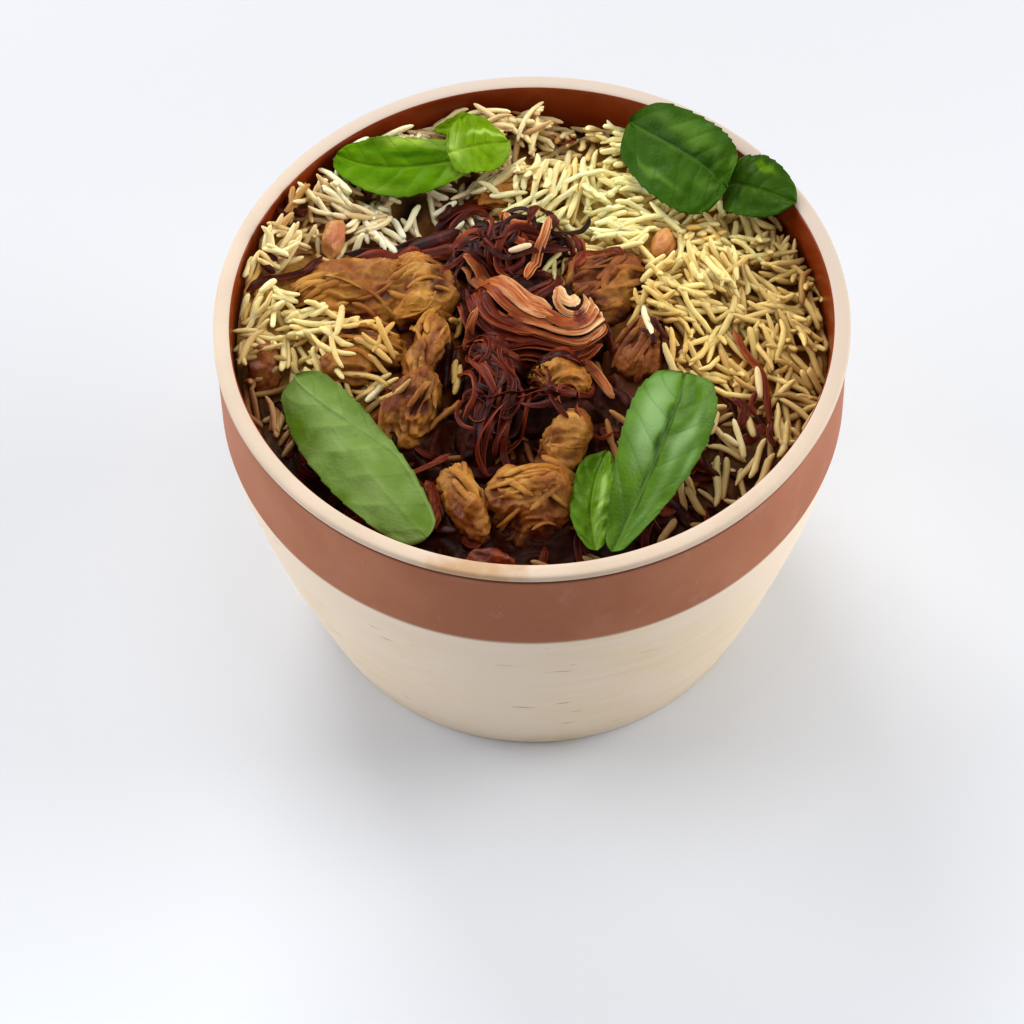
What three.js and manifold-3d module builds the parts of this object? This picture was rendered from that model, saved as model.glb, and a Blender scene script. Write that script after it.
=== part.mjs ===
// Chicken biryani in a stoneware bowl: rice, chicken, fried onions and mint leaves.
// Millimetres, +Z up. The origin is the middle of the bowl's flat underside.
import * as THREE from "three";
import { mergeVertices } from "three/addons/utils/BufferGeometryUtils.js";
import Module from "manifold-3d";

const wasm = await Module();
wasm.setup();

// ---------- driving dimensions ----------
const segments = 40; // sides of the bowl's rings, and of the rice where it meets the wall
const gap = 0.3; // air between two pieces that touch

const bowl = {
  height: 106.4,
  rimRadius: 80,
  rimWidth: 4.4,
  lipHeight: 1.8,
  bandRadius: 79.5,
  bandBottom: 78,
  baseRadius: 59,
  flare: 1.3, // how fast the wall turns from the base to upright
  wall: 5,
  floor: 7,
  cornerHeight: 16, // where the wall starts to round into the floor
};

const rice = {
  crown: 95.5, // bare core under the loose grains, at the middle
  rings: 8, // ring k of the core's top has 6 k corners, so the last one has segments
  wallGap: 0.4,
  edgeDrop: 3.2,
  frontDrop: 10.5,
  // rises and hollows of the heap: x, y, height, radius
  swells: [
    [45, 20, 3.5, 17],
    [13, 50, 1.5, 15],
    [-34, 42, -2.0, 12],
    [-47, -46, -3.5, 14],
    [46, -44, -3.5, 13],
    [-76, 22, 9, 20],
    [-62, 46, 6, 17],
    [-42, 66, 5, 18],
    [-18, 74, 5, 18],
  ],
};

const grain = {
  tries: 900,
  most: 78,
  length: [8.5, 12.5],
  width: [2.0, 2.4],
  bend: 0.7,
  reach: 71.5, // furthest a grain's middle lies from the bowl's axis
  apart: 6.4, // least distance between two grains' middles
};

// Each mound: middle x, y, length, width, turn in degrees, height above the rice.
const chicken = {
  chicken_left: [[-44, 16, 34, 21, 8, 8.5], [-28, 16, 20, 23, 0, 8.5]],
  chicken_left_round: [[-43, -3, 23, 18, -10, 8.5]],
  chicken_strip: [[-26, -3, 26, 11, 80, 9], [-30, -20, 22, 15, 65, 9.5]],
  chicken_centre: [[7, -13, 15, 12, 10, 8]],
  chicken_right: [[19, 17, 24, 22, 30, 6.5]],
  chicken_right_low: [[28, -3, 22, 14, 70, 6]],
  chicken_front: [[-1, -47, 25, 20, 5, 9], [8, -33, 21, 12, 68, 8.5]],
  chicken_front_sliver: [[-17, -46, 21, 9.5, -70, 8]],
  chicken_back: [[0, 49, 27, 12, 4, 6]],
  chicken_edge: [[-67.5, -6, 13, 8, 80, 5]],
};

const bits = {
  tomato_bit: [[-50, 33, 12, 5.5, 75, 5.5]],
  orange_bit: [[34, 29, 13, 6.5, 70, 5.5]],
  onion_lump_front: [[-13, -62, 15, 7, 8, 5]],
};

// Fried onion tangle: mounds that the strands lie on.
const tangleMounds = [
  [-4, 29, 34, 21, 5, 8.5],
  [1, 6, 39, 30, -15, 9.5],
  [-11, -18, 42, 18, 82, 8],
  [5, -24, 28, 14, 0, 7.5],
];

const strandStep = 5; // length of strand between two of its rings

// Each strand: width, thickness, then points x, y and, where it stands up, its lift.
const tangleStrands = [
  [4.2, 1.9, [-18, 21], [-9, 16], [-2, 8], [3, 4], [8, 3]],
  [3.4, 1.8, [-15, 15], [-8, 9], [1, 1], [9, -1], [14, 3], [12, 8, 0.6]],
  [3.2, 1.8, [-15, 9], [-8, 3], [3, -3], [12, -4], [17, 0], [17, 6]],
  [3.4, 1.8, [-13, 3], [-4, -4], [7, -7], [15, -5]],
  [2.6, 1.8, [5, 7, 0.8], [9, 3, 1.6], [12, 5, 1.6], [9, 10, 0.8]],
  [3.6, 1.9, [-18, 16], [-16, 5], [-17, -5], [-13, -13], [-9, -19]],
  [3.0, 1.8, [-12, 0], [-14, -8], [-10, -16], [-12, -25], [-14, -35]],
  [2.8, 1.8, [-4, -23], [-9, -29], [-11, -36], [-8, -41]],
  [3.2, 1.9, [-16, -19], [-4, -22], [6, -22], [15, -19]],
  [3.0, 1.8, [-2, 13], [0, 21], [3, 29, 0.8], [4, 36, 2.2], [1, 40, 2.6]],
  [2.8, 1.8, [5, 38, 2.6], [6, 31, 0.8], [5, 23], [4, 15]],
  [3.4, 1.8, [-14, 40, 0.4], [-10, 34], [-4, 33], [0, 27]],
  [5.0, 1.9, [-47, 25, 0.6], [-36, 26, 0.6], [-26, 27, 0.6], [-15, 28], [-8, 26]],
  [3.4, 1.8, [11, -7], [15, -15, 0.4], [19, -25]],
];

// Strands and shreds of fried onion that lie apart from the tangle.
const looseStrands = {
  onion_strand_left: [2.6, 1.6, [-72, 14], [-68, 17], [-62.5, 19], [-57, 22], [-53, 27]],
  onion_strand_right: [2.4, 1.5, [51, 2], [54, -5], [58, -12], [59, -26]],
  onion_curl_right: [2.6, 1.5, [50, -18], [53, -22, 1], [51, -27]],
  onion_thread_left: [2.0, 1.5, [-43, -36], [-34, -38], [-26, -36], [-21, -33.5]],
  onion_strip_front: [3.2, 1.6, [-27, -40], [-25, -45], [-25, -53]],
  onion_ring_right: [3.4, 1.6, [12, 19], [14, 24], [19, 26], [24, 22]],
};

// Each leaf: stem end, middle and tip as x, y, z, then its width, sideways tilt in
// degrees, the depth of its midrib fold, the height of its waves, how far towards
// the tip it is widest and how pointed its ends are.
const leaf = {
  thickness: 0.7,
  tooth: 0.06,
  alongSteps: 8,
  acrossSteps: 4,
  shapes: {
    mint_left_large: [[-14.4, 56.8, 101.6], [-34.6, 52.1, 103.2], [-49.2, 55.1, 105.6], 17, -15, 1.4, 0.9, 0.88, 0.5],
    mint_left_upper: [[-24, 65.9, 101.6], [-15, 65.8, 102.6], [-11.2, 65.9, 102.8], 8.2, -8, 0.8, 0.5, 0.74, 0.67],
    mint_left_small: [[-20.5, 55.2, 105], [-13, 56.4, 106], [-4.8, 58.4, 105], 19, 2, 1.2, 0.6, 0.9, 0.5],
    mint_right_large: [[26.9, 63.6, 105.8], [42.5, 46.2, 108], [50.6, 39.5, 107.4], 24.4, 28, 1.6, 0.9, 0.88, 0.4],
    mint_right_tip: [[51.7, 44, 102.8], [56.3, 40.9, 106.4], [68.3, 34.2, 107.4], 18.2, 16, 1.2, 0.7, 1, 0.58],
    mint_front_left: [[-27, -58, 93.5], [-44.5, -35.5, 97], [-59.5, -10, 97], 20.5, -8, -1.8, 0.9, 1.1, 0.4],
    mint_front_right: [[18.5, -64.1, 94.2], [31.4, -37, 101.3], [37.8, -14.9, 100], 21.6, 4, 2.4, 0.8, 1.45, 0.45],
    mint_front_low: [[14.8, -62.3, 92.4], [14, -48.3, 95], [18.2, -34.1, 95], 11, -10, 1.4, 0.6, 0.97, 0.6],
  },
};

const colours = {
  bowl: [0xe6d3bd, 0.7],
  rice: [0xdcc98c, 0.55],
  chicken: [0xa9702f, 0.45],
  tomato: [0xb0622f, 0.4],
  onion: [0x5a1f17, 0.35],
  onionPale: [0x8c3f2a, 0.35],
  mintBright: [0x5d9a1a, 0.4],
  mintDark: [0x34661d, 0.4],
  mintPale: [0x7fa561, 0.55],
};

// ---------- small helpers ----------
function seeded(seed) {
  let state = seed;
  return (low = 0, high = 1) => {
    state = (state + 0x6d2b79f5) | 0;
    let mixed = Math.imul(state ^ (state >>> 15), 1 | state);
    mixed = (mixed + Math.imul(mixed ^ (mixed >>> 7), 61 | mixed)) ^ mixed;
    return low + (high - low) * (((mixed ^ (mixed >>> 14)) >>> 0) / 4294967296);
  };
}

// A closed body from its corners and faces, turned so that the faces point out.
function closedBody(points, faces) {
  const geometry = new THREE.BufferGeometry();
  geometry.setAttribute("position", new THREE.Float32BufferAttribute(points.flatMap((p) => [p.x, p.y, p.z]), 3));
  const volume = faces.reduce((sum, [a, b, c]) => {
    return sum + points[a].dot(new THREE.Vector3().crossVectors(points[b], points[c]));
  }, 0);
  geometry.setIndex(faces.flatMap(([a, b, c]) => (volume > 0 ? [a, b, c] : [a, c, b])));
  return geometry;
}

// Faces between two rings of corner numbers that go round the same way. The rings may
// have different counts: each face uses up a side of the ring that lags behind.
function bridge(ringA, ringB) {
  const faces = [];
  let [a, b] = [0, 0];
  while (a < ringA.length || b < ringB.length) {
    const stepA = b >= ringB.length || (a < ringA.length && (a + 1) * ringB.length <= (b + 1) * ringA.length);
    const [cornerA, cornerB] = [ringA[a % ringA.length], ringB[b % ringB.length]];
    if (stepA) {
      a += 1;
      faces.push([cornerA, ringA[a % ringA.length], cornerB]);
    } else {
      b += 1;
      faces.push([cornerA, ringB[b % ringB.length], cornerB]);
    }
  }
  return faces;
}

// A closed skin over rings of points, drawn in to a point at both ends.
function skin(firstPoint, rings, lastPoint) {
  const points = [];
  const numbered = [[firstPoint], ...rings, [lastPoint]].map((ring) => ring.map((point) => points.push(point) - 1));
  const faces = [];
  for (let i = 0; i + 1 < numbered.length; i++) {
    const [ringA, ringB] = [numbered[i], numbered[i + 1]];
    if (ringA.length === 1) ringB.forEach((b, k) => faces.push([ringA[0], ringB[(k + 1) % ringB.length], b]));
    else if (ringB.length === 1) ringA.forEach((a, k) => faces.push([a, ringA[(k + 1) % ringA.length], ringB[0]]));
    else faces.push(...bridge(ringA, ringB));
  }
  return closedBody(points, faces);
}

const ringOf = (count, pointAt) => Array.from({ length: count }, (_, i) => pointAt((2 * Math.PI * i) / count));

function toSolid(geometry) {
  const bare = geometry.clone();
  bare.deleteAttribute("normal");
  bare.deleteAttribute("uv");
  const merged = mergeVertices(bare, 1e-4);
  const mesh = new wasm.Mesh({
    numProp: 3,
    vertProperties: new Float32Array(merged.attributes.position.array),
    triVerts: new Uint32Array(merged.index.array),
  });
  return new wasm.Manifold(mesh);
}

function toGeometry(solid) {
  const mesh = solid.getMesh();
  const geometry = new THREE.BufferGeometry();
  geometry.setAttribute("position", new THREE.Float32BufferAttribute(mesh.vertProperties, 3));
  geometry.setIndex(new THREE.Uint32BufferAttribute(mesh.triVerts, 1));
  geometry.computeVertexNormals();
  return geometry;
}

const joined = (solids) => solids.reduce((sum, solid) => sum.add(solid));
const cutBy = (solid, cutters) => cutters.reduce((rest, cutter) => rest.subtract(cutter), solid);

// What is left of a cut solid without its loose scraps.
function largest(solid) {
  return solid.decompose().reduce((best, part) => (part.volume() > best.volume() ? part : best));
}

function piece(name, geometry, [colour, roughness]) {
  const mesh = new THREE.Mesh(geometry, new THREE.MeshStandardMaterial({ color: colour, roughness, metalness: 0 }));
  mesh.name = name;
  return mesh;
}

// ---------- bowl ----------
const rimInner = bowl.rimRadius - bowl.rimWidth;

function outerRadius(z) {
  const rise = Math.min(1, z / bowl.bandBottom);
  return bowl.baseRadius + (bowl.bandRadius - bowl.baseRadius) * (1 - (1 - rise) ** bowl.flare);
}

function innerRadius(z) {
  const upper = THREE.MathUtils.smoothstep(z, bowl.bandBottom, bowl.height);
  return THREE.MathUtils.lerp(outerRadius(z) - bowl.wall, rimInner, upper);
}

// Inside, the wall rounds into the floor: radius and height of each corner.
const innerWall = [90, 72, 52, 34].map((z) => [innerRadius(z), z]);
const innerCorner = [
  [innerRadius(bowl.cornerHeight), bowl.cornerHeight],
  [innerRadius(bowl.cornerHeight) - 7, bowl.floor + 1],
];

function bowlGeometry() {
  const bevel = 1.2;
  const lipStart = bowl.height - bowl.lipHeight;
  const profile = [[0, 0], [bowl.baseRadius - bevel, 0], [bowl.baseRadius, bevel]];
  for (const z of [10, 24, 42, 60]) profile.push([outerRadius(z), z]);
  profile.push([bowl.bandRadius, bowl.bandBottom], [bowl.bandRadius, lipStart - 0.5]);
  profile.push([bowl.rimRadius, lipStart], [bowl.rimRadius, bowl.height - 0.7]);
  profile.push([bowl.rimRadius - 0.8, bowl.height], [rimInner + 0.8, bowl.height]);
  profile.push([rimInner, bowl.height - 0.8], ...innerWall, ...innerCorner, [0, bowl.floor]);
  const points = profile.map(([radius, z]) => new THREE.Vector2(radius, z));
  return new THREE.LatheGeometry(points, segments).rotateX(Math.PI / 2);
}

// ---------- rice ----------
function riceLevel(x, y) {
  const radius = Math.hypot(x, y);
  const towardsBack = radius > 0 ? y / radius : 0;
  const front = rice.frontDrop * Math.max(0, -towardsBack) ** 1.5;
  const reach = (radius / innerRadius(rice.crown)) ** 2.2;
  const swell = rice.swells.reduce((sum, [atX, atY, height, size]) => {
    return sum + height * Math.exp(-((x - atX) ** 2 + (y - atY) ** 2) / size ** 2);
  }, 0);
  return rice.crown - (rice.edgeDrop + front) * reach + swell;
}

// The heap under the loose grains; raised by lift it is the cutter for what lies on it.
function riceCore(lift = 0) {
  const edge = innerRadius(rice.crown) - rice.wallGap;
  const onTop = (angle, radius) => {
    const [x, y] = [radius * Math.cos(angle), radius * Math.sin(angle)];
    return new THREE.Vector3(x, y, riceLevel(x, y) + lift);
  };
  const rings = [];
  for (let k = 1; k < rice.rings; k++) {
    rings.push(ringOf((segments * k) / rice.rings, (angle) => onTop(angle, (edge * k) / rice.rings)));
  }
  for (const down of [0, 0.3, 0.65]) {
    rings.push(ringOf(segments, (angle) => {
      const z = THREE.MathUtils.lerp(onTop(angle, edge).z, bowl.cornerHeight, down);
      const radius = innerRadius(z) - rice.wallGap;
      return new THREE.Vector3(radius * Math.cos(angle), radius * Math.sin(angle), z);
    }));
  }
  for (const [radius, z] of innerCorner) {
    rings.push(ringOf(segments, (angle) => {
      const inside = radius - rice.wallGap;
      return new THREE.Vector3(inside * Math.cos(angle), inside * Math.sin(angle), z + rice.wallGap);
    }));
  }
  const foot = new THREE.Vector3(0, 0, bowl.floor + rice.wallGap);
  return toSolid(skin(onTop(0, 0), rings, foot));
}

// One cooked grain along X: pointed at both ends, slightly bent.
function grainGeometry(length, width) {
  const ring = (along, fullness) => ringOf(5, (angle) => {
    const drop = grain.bend * (2 * along) ** 2;
    const radius = (width / 2) * fullness;
    return new THREE.Vector3(along * length, radius * Math.cos(angle), radius * Math.sin(angle) - drop);
  });
  const tip = (along) => new THREE.Vector3(along * length, 0, -grain.bend);
  return skin(tip(-0.5), [ring(-0.33, 0.8), ring(0, 1), ring(0.33, 0.8)], tip(0.5));
}

// Grains are drawn at random and kept where they clear the bowl, the toppings and each other.
function looseGrains(toppings) {
  const random = seeded(41);
  const limits = toppings.map((solid) => [solid, solid.boundingBox()]);
  const middles = [];
  const grains = [];
  for (let attempt = 0; attempt < grain.tries && grains.length < grain.most; attempt++) {
    const radius = grain.reach * Math.sqrt(random());
    const angle = random(0, 2 * Math.PI);
    const [length, width] = [random(...grain.length), random(...grain.width)];
    const [heading, tilt] = [random(0, Math.PI), random(-0.3, 0.3)];
    const [x, y] = [radius * Math.cos(angle), radius * Math.sin(angle)];
    const [reachX, reachY] = [(length / 2) * Math.cos(heading), (length / 2) * Math.sin(heading)];
    if (middles.some(([otherX, otherY]) => Math.hypot(x - otherX, y - otherY) < grain.apart)) continue;
    const farEnd = Math.max(Math.hypot(x + reachX, y + reachY), Math.hypot(x - reachX, y - reachY));
    if (farEnd > innerRadius(rice.crown) - 1.6) continue;
    const slope = (riceLevel(x + reachX, y + reachY) - riceLevel(x - reachX, y - reachY)) / length;
    const shape = grainGeometry(length, width).rotateY(-tilt - Math.atan(slope)).rotateZ(heading);
    shape.translate(x, y, riceLevel(x, y) + 0.4 * width);
    shape.computeBoundingBox();
    const { min: low, max: high } = shape.boundingBox;
    const solid = toSolid(shape);
    const crosses = limits.some(([topping, { min, max }]) => {
      const apart = low.x > max[0] || high.x < min[0] || low.y > max[1] || high.y < min[1];
      return !apart && topping.intersect(solid).volume() > 1e-6;
    });
    if (crosses) continue;
    middles.push([x, y]);
    grains.push(solid);
  }
  return grains;
}

// ---------- chicken, onion and other lumps ----------
// The form of one uneven mound: its outline, and how high it stands over the rice.
const moundFoot = 3; // how far a mound reaches below the rice's level before it is cut

function moundForm([atX, atY, length, width, turnDegrees, height]) {
  const random = seeded(Math.round(atX * 31 + atY * 17) + 1000);
  const phases = Array.from({ length: 4 }, () => random(0, 2 * Math.PI));
  const turn = THREE.MathUtils.degToRad(turnDegrees);
  const uneven = (angle) => {
    return 1 + 0.07 * Math.sin(3 * angle + phases[0]) + 0.05 * Math.sin(5 * angle + phases[1]);
  };
  const outline = (angle, share, grow) => {
    const along = ((length / 2) * uneven(angle) + grow) * share * Math.cos(angle);
    const across = ((width / 2) * uneven(angle) + grow) * share * Math.sin(angle);
    return [
      atX + along * Math.cos(turn) - across * Math.sin(turn),
      atY + along * Math.sin(turn) + across * Math.cos(turn),
    ];
  };
  const top = (x, y, share) => {
    const relief = 0.09 * height * (Math.sin(x / 2.3 + phases[2]) + Math.sin(y / 2.7 + phases[3]));
    return (height + moundFoot) * Math.sqrt(1 - share ** 3) - moundFoot + relief * (1 - share);
  };
  const topAt = (x, y) => {
    const [dx, dy] = [x - atX, y - atY];
    const along = (dx * Math.cos(turn) + dy * Math.sin(turn)) / (length / 2);
    const across = (dy * Math.cos(turn) - dx * Math.sin(turn)) / (width / 2);
    const share = Math.hypot(along, across) / uneven(Math.atan2(across, along));
    return share < 1 ? top(x, y, share) : 0;
  };
  return { outline, top, topAt, sides: length > 16 ? 14 : 11 };
}

function mound(shape, grow) {
  const { outline, top, sides } = moundForm(shape);
  const place = (x, y, above) => new THREE.Vector3(x, y, riceLevel(x, y) + above);
  const rings = [0.42, 0.76, 0.94].map((share) => ringOf(sides, (angle) => {
    const [x, y] = outline(angle, share, grow);
    return place(x, y, top(x, y, share) + grow);
  }));
  rings.push(ringOf(sides, (angle) => place(...outline(angle, 1, grow), -moundFoot)));
  const [x, y] = shape;
  return toSolid(skin(place(x, y, top(x, y, 0) + grow), rings, place(x, y, -moundFoot)));
}

const lump = (mounds, grow = 0) => joined(mounds.map((shape) => mound(shape, grow)));

const allForms = [...Object.values(chicken), ...Object.values(bits), tangleMounds].flat().map(moundForm);
const pileTop = (x, y) => riceLevel(x, y) + Math.max(0, ...allForms.map((form) => form.topAt(x, y)));

// A fried onion strand: a flat strip along a smooth line, laid over what is under it.
// Its middle keeps the distance seat to the pile.
function strand([width, thickness, ...route], seat, grow = 0) {
  const line = new THREE.CatmullRomCurve3(route.map(([x, y, lift = 0]) => new THREE.Vector3(x, y, lift)));
  const steps = Math.max(5, Math.round(line.getLength() / strandStep));
  const up = new THREE.Vector3(0, 0, 1);
  const laid = (share, past = 0) => {
    const levels = [-0.5, 0, 0.5].map((offset) => {
      const { x, y } = line.getPointAt(THREE.MathUtils.clamp(share + offset / steps, 0, 1));
      return pileTop(x, y);
    });
    const point = line.getPointAt(share).addScaledVector(line.getTangentAt(share), past);
    return point.setZ(point.z + seat + Math.max(levels[1], (levels[0] + levels[2]) / 2));
  };
  const rings = Array.from({ length: steps }, (_, step) => {
    const share = (step + 0.5) / steps;
    const point = laid(share);
    const side = new THREE.Vector3().crossVectors(up, line.getTangentAt(share)).normalize();
    const halfWidth = (width / 2) * (0.55 + 0.45 * Math.sin(Math.PI * share)) + grow;
    const halfHeight = thickness / 2 + grow;
    return [[1, 0], [0.25, 1], [-1, 0.2], [-0.25, -1]].map(([across, above]) => {
      return point.clone().addScaledVector(side, across * halfWidth).addScaledVector(up, above * halfHeight);
    });
  });
  return toSolid(skin(laid(0, -grow), rings, laid(1, grow)));
}

// ---------- mint ----------
// A thin wavy leaf with its midrib folded in and its edge toothed.
function leafSolid([stem, middle, tip, width, tiltDegrees, fold, wave, belly, blunt], grow = 0) {
  const [start, through, finish] = [stem, middle, tip].map((place) => new THREE.Vector3(...place));
  const bend = through.clone().multiplyScalar(2).addScaledVector(start, -0.5).addScaledVector(finish, -0.5);
  const line = new THREE.QuadraticBezierCurve3(start, bend, finish);
  const { alongSteps, acrossSteps } = leaf;
  const points = [];
  for (const face of [1, -1]) {
    for (let i = 0; i <= alongSteps; i++) {
      const share = 0.5 - 0.5 * Math.cos((Math.PI * i) / alongSteps);
      const tangent = line.getTangent(share);
      const level = new THREE.Vector3(-tangent.y, tangent.x, 0).normalize();
      const side = level.applyAxisAngle(tangent, THREE.MathUtils.degToRad(tiltDegrees));
      const normal = new THREE.Vector3().crossVectors(tangent, side).normalize();
      const swell = Math.sin(Math.PI * (0.03 + 0.94 * share) ** belly) ** blunt;
      const tooth = 1 + leaf.tooth * (i % 2 ? 1 : -1);
      const half = Math.max(0.7, (width / 2) * swell * tooth) + grow;
      for (let j = 0; j <= acrossSteps; j++) {
        const across = (2 * j) / acrossSteps - 1;
        const ripple = wave * across * across * Math.sin(9 * share + 2 * across + width);
        const lift = fold * Math.abs(across) * swell + ripple + face * (leaf.thickness / 2 + grow);
        points.push(line.getPoint(share).addScaledVector(side, across * half).addScaledVector(normal, lift));
      }
    }
  }
  const at = (face, i, j) => (face * (alongSteps + 1) + i) * (acrossSteps + 1) + j;
  const faces = [];
  for (let i = 0; i < alongSteps; i++) {
    for (let j = 0; j < acrossSteps; j++) {
      faces.push([at(0, i, j), at(0, i + 1, j), at(0, i + 1, j + 1)]);
      faces.push([at(0, i, j), at(0, i + 1, j + 1), at(0, i, j + 1)]);
      faces.push([at(1, i, j), at(1, i + 1, j + 1), at(1, i + 1, j)]);
      faces.push([at(1, i, j), at(1, i, j + 1), at(1, i + 1, j + 1)]);
    }
  }
  const border = [];
  for (let i = 0; i < alongSteps; i++) border.push([i, 0]);
  for (let j = 0; j < acrossSteps; j++) border.push([alongSteps, j]);
  for (let i = alongSteps; i > 0; i--) border.push([i, acrossSteps]);
  for (let j = acrossSteps; j > 0; j--) border.push([0, j]);
  border.forEach(([i, j], k) => {
    const [nextI, nextJ] = border[(k + 1) % border.length];
    faces.push([at(0, i, j), at(1, i, j), at(1, nextI, nextJ)]);
    faces.push([at(0, i, j), at(1, nextI, nextJ), at(0, nextI, nextJ)]);
  });
  return toSolid(closedBody(points, faces));
}

// ---------- the filled bowl ----------
const biryani = new THREE.Group();
biryani.add(piece("bowl", bowlGeometry(), colours.bowl));

const bed = riceCore(gap);
const grown = []; // every topping so far, grown by the gap, to cut and place what follows

function lay(name, solid, cutter, colour) {
  biryani.add(piece(name, toGeometry(largest(cutBy(solid, [bed, ...grown]))), colour));
  grown.push(cutter);
}

for (const [name, mounds] of Object.entries(chicken)) lay(name, lump(mounds), lump(mounds, gap), colours.chicken);
for (const [name, mounds] of Object.entries(bits)) {
  lay(name, lump(mounds), lump(mounds, gap), name.startsWith("onion") ? colours.onion : colours.tomato);
}
for (const [name, shape] of Object.entries(leaf.shapes)) {
  const bright = name.startsWith("mint_left") ? colours.mintBright : colours.mintDark;
  lay(name, leafSolid(shape), leafSolid(shape, gap), name === "mint_front_left" ? colours.mintPale : bright);
}
for (const [name, shape] of Object.entries(looseStrands)) {
  const seat = shape[1] / 2 + 2 * gap;
  lay(name, strand(shape, seat), strand(shape, seat, gap), colours.onionPale);
}
function tangle(grow) {
  const strands = tangleStrands.map((shape) => strand(shape, 0.3 * shape[1], grow));
  return joined([lump(tangleMounds, grow), ...strands]);
}
lay("fried_onion_tangle", tangle(0), tangle(gap), colours.onion);

biryani.add(piece("rice", toGeometry(largest(joined([riceCore(), ...looseGrains(grown)]))), colours.rice));

export default biryani;
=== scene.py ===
# Chicken biryani in a stoneware bowl: the looks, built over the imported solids.
import math
import bpy
import numpy as np
from mathutils import Matrix, Vector


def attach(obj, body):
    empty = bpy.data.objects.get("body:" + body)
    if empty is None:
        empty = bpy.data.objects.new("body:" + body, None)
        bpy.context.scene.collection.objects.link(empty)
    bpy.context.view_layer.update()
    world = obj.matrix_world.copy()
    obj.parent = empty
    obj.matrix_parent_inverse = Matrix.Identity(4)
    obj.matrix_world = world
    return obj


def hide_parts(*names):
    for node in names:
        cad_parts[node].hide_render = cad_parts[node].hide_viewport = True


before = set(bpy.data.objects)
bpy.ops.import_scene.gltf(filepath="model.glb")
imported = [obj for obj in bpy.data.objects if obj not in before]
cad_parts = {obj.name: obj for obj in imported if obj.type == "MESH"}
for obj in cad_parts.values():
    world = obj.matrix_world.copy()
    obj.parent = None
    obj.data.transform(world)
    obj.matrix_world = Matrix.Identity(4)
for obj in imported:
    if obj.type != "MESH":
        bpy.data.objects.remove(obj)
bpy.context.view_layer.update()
scene = bpy.context.scene
scene.view_settings.view_transform = "Standard"

# Shapes below are worked out in millimetres; meshes are stored in metres.
toMetres = 0.001


# The same draw as the solids use, so that the mounds get the same outlines.
def seeded(seed):
    state = [seed & 0xffffffff]

    def draw(low, high):
        state[0] = (state[0] + 0x6d2b79f5) & 0xffffffff
        s = state[0]
        mixed = ((s ^ (s >> 15)) * (1 | s)) & 0xffffffff
        mixed = ((mixed + (((mixed ^ (mixed >> 7)) * (61 | mixed)) & 0xffffffff)) & 0xffffffff) ^ mixed
        return low + (high - low) * (mixed ^ (mixed >> 14)) / 4294967296
    return draw


# Smooth noise from -1 to 1 at points in millimetres, with lumps about as large as size.
def noiseAt(points, size, seed):
    p = np.asarray(points, float) / size
    cell = np.floor(p).astype(np.int64)
    part = p - cell
    ease = part ** 3 * (part * (part * 6 - 15) + 10)
    total = np.zeros(p.shape[:-1])
    for corner in range(8):
        step = np.array([corner & 1, corner >> 1 & 1, corner >> 2 & 1])
        c = (cell + step) & 0xffffffff
        n = (c[..., 0] * 73856093 ^ c[..., 1] * 19349663 ^ c[..., 2] * 83492791 ^ seed * 40503) & 0xffffffff
        n = ((n ^ (n >> 13)) * 1274126177) & 0xffffffff
        n = ((n ^ (n >> 16)) * 2246822519) & 0xffffffff
        value = ((n ^ (n >> 13)) & 0xffff) / 32767.5 - 1
        total += value * np.prod(np.where(step, ease, 1 - ease), axis=-1)
    return total


def layeredNoise(points, size, seed, layers):
    return sum(noiseAt(points, size / 2 ** k, seed + 17 * k) / 2 ** k for k in range(layers)) / 1.6


# Noise folded at 0, which gives narrow ridges; the sharper, the deeper the ground between them.
def ridges(points, size, seed, sharp):
    return 1 - sharp * np.abs(noiseAt(points, size, seed))


def smoothBetween(low, high, value):
    t = np.clip((value - low) / (high - low), 0, 1)
    return t * t * (3 - 2 * t)


def anglesRound(count):
    return np.linspace(0, 2 * math.pi, count, endpoint=False)


# Quads of a grid of points with that many rows and columns; wrap joins its last column to its first.
def gridQuads(rows, columns, wrap=False, start=0):
    r, c = np.meshgrid(np.arange(rows - 1), np.arange(columns if wrap else columns - 1), indexing="ij")
    nextC = (c + 1) % columns
    corners = [r * columns + c, r * columns + nextC, (r + 1) * columns + nextC, (r + 1) * columns + c]
    return np.stack(corners, -1).reshape(-1, 4) + start


# Triangles that close a wrapped grid's first and last ring; the two middle points follow the grid's.
def endFans(rings, sides, start=0):
    step, last, middle = np.arange(sides), start + (rings - 1) * sides, start + rings * sides
    after = (step + 1) % sides
    return np.concatenate([np.stack([np.full(sides, middle), start + after, start + step], -1),
                           np.stack([np.full(sides, middle + 1), last + step, last + after], -1)])


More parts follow.
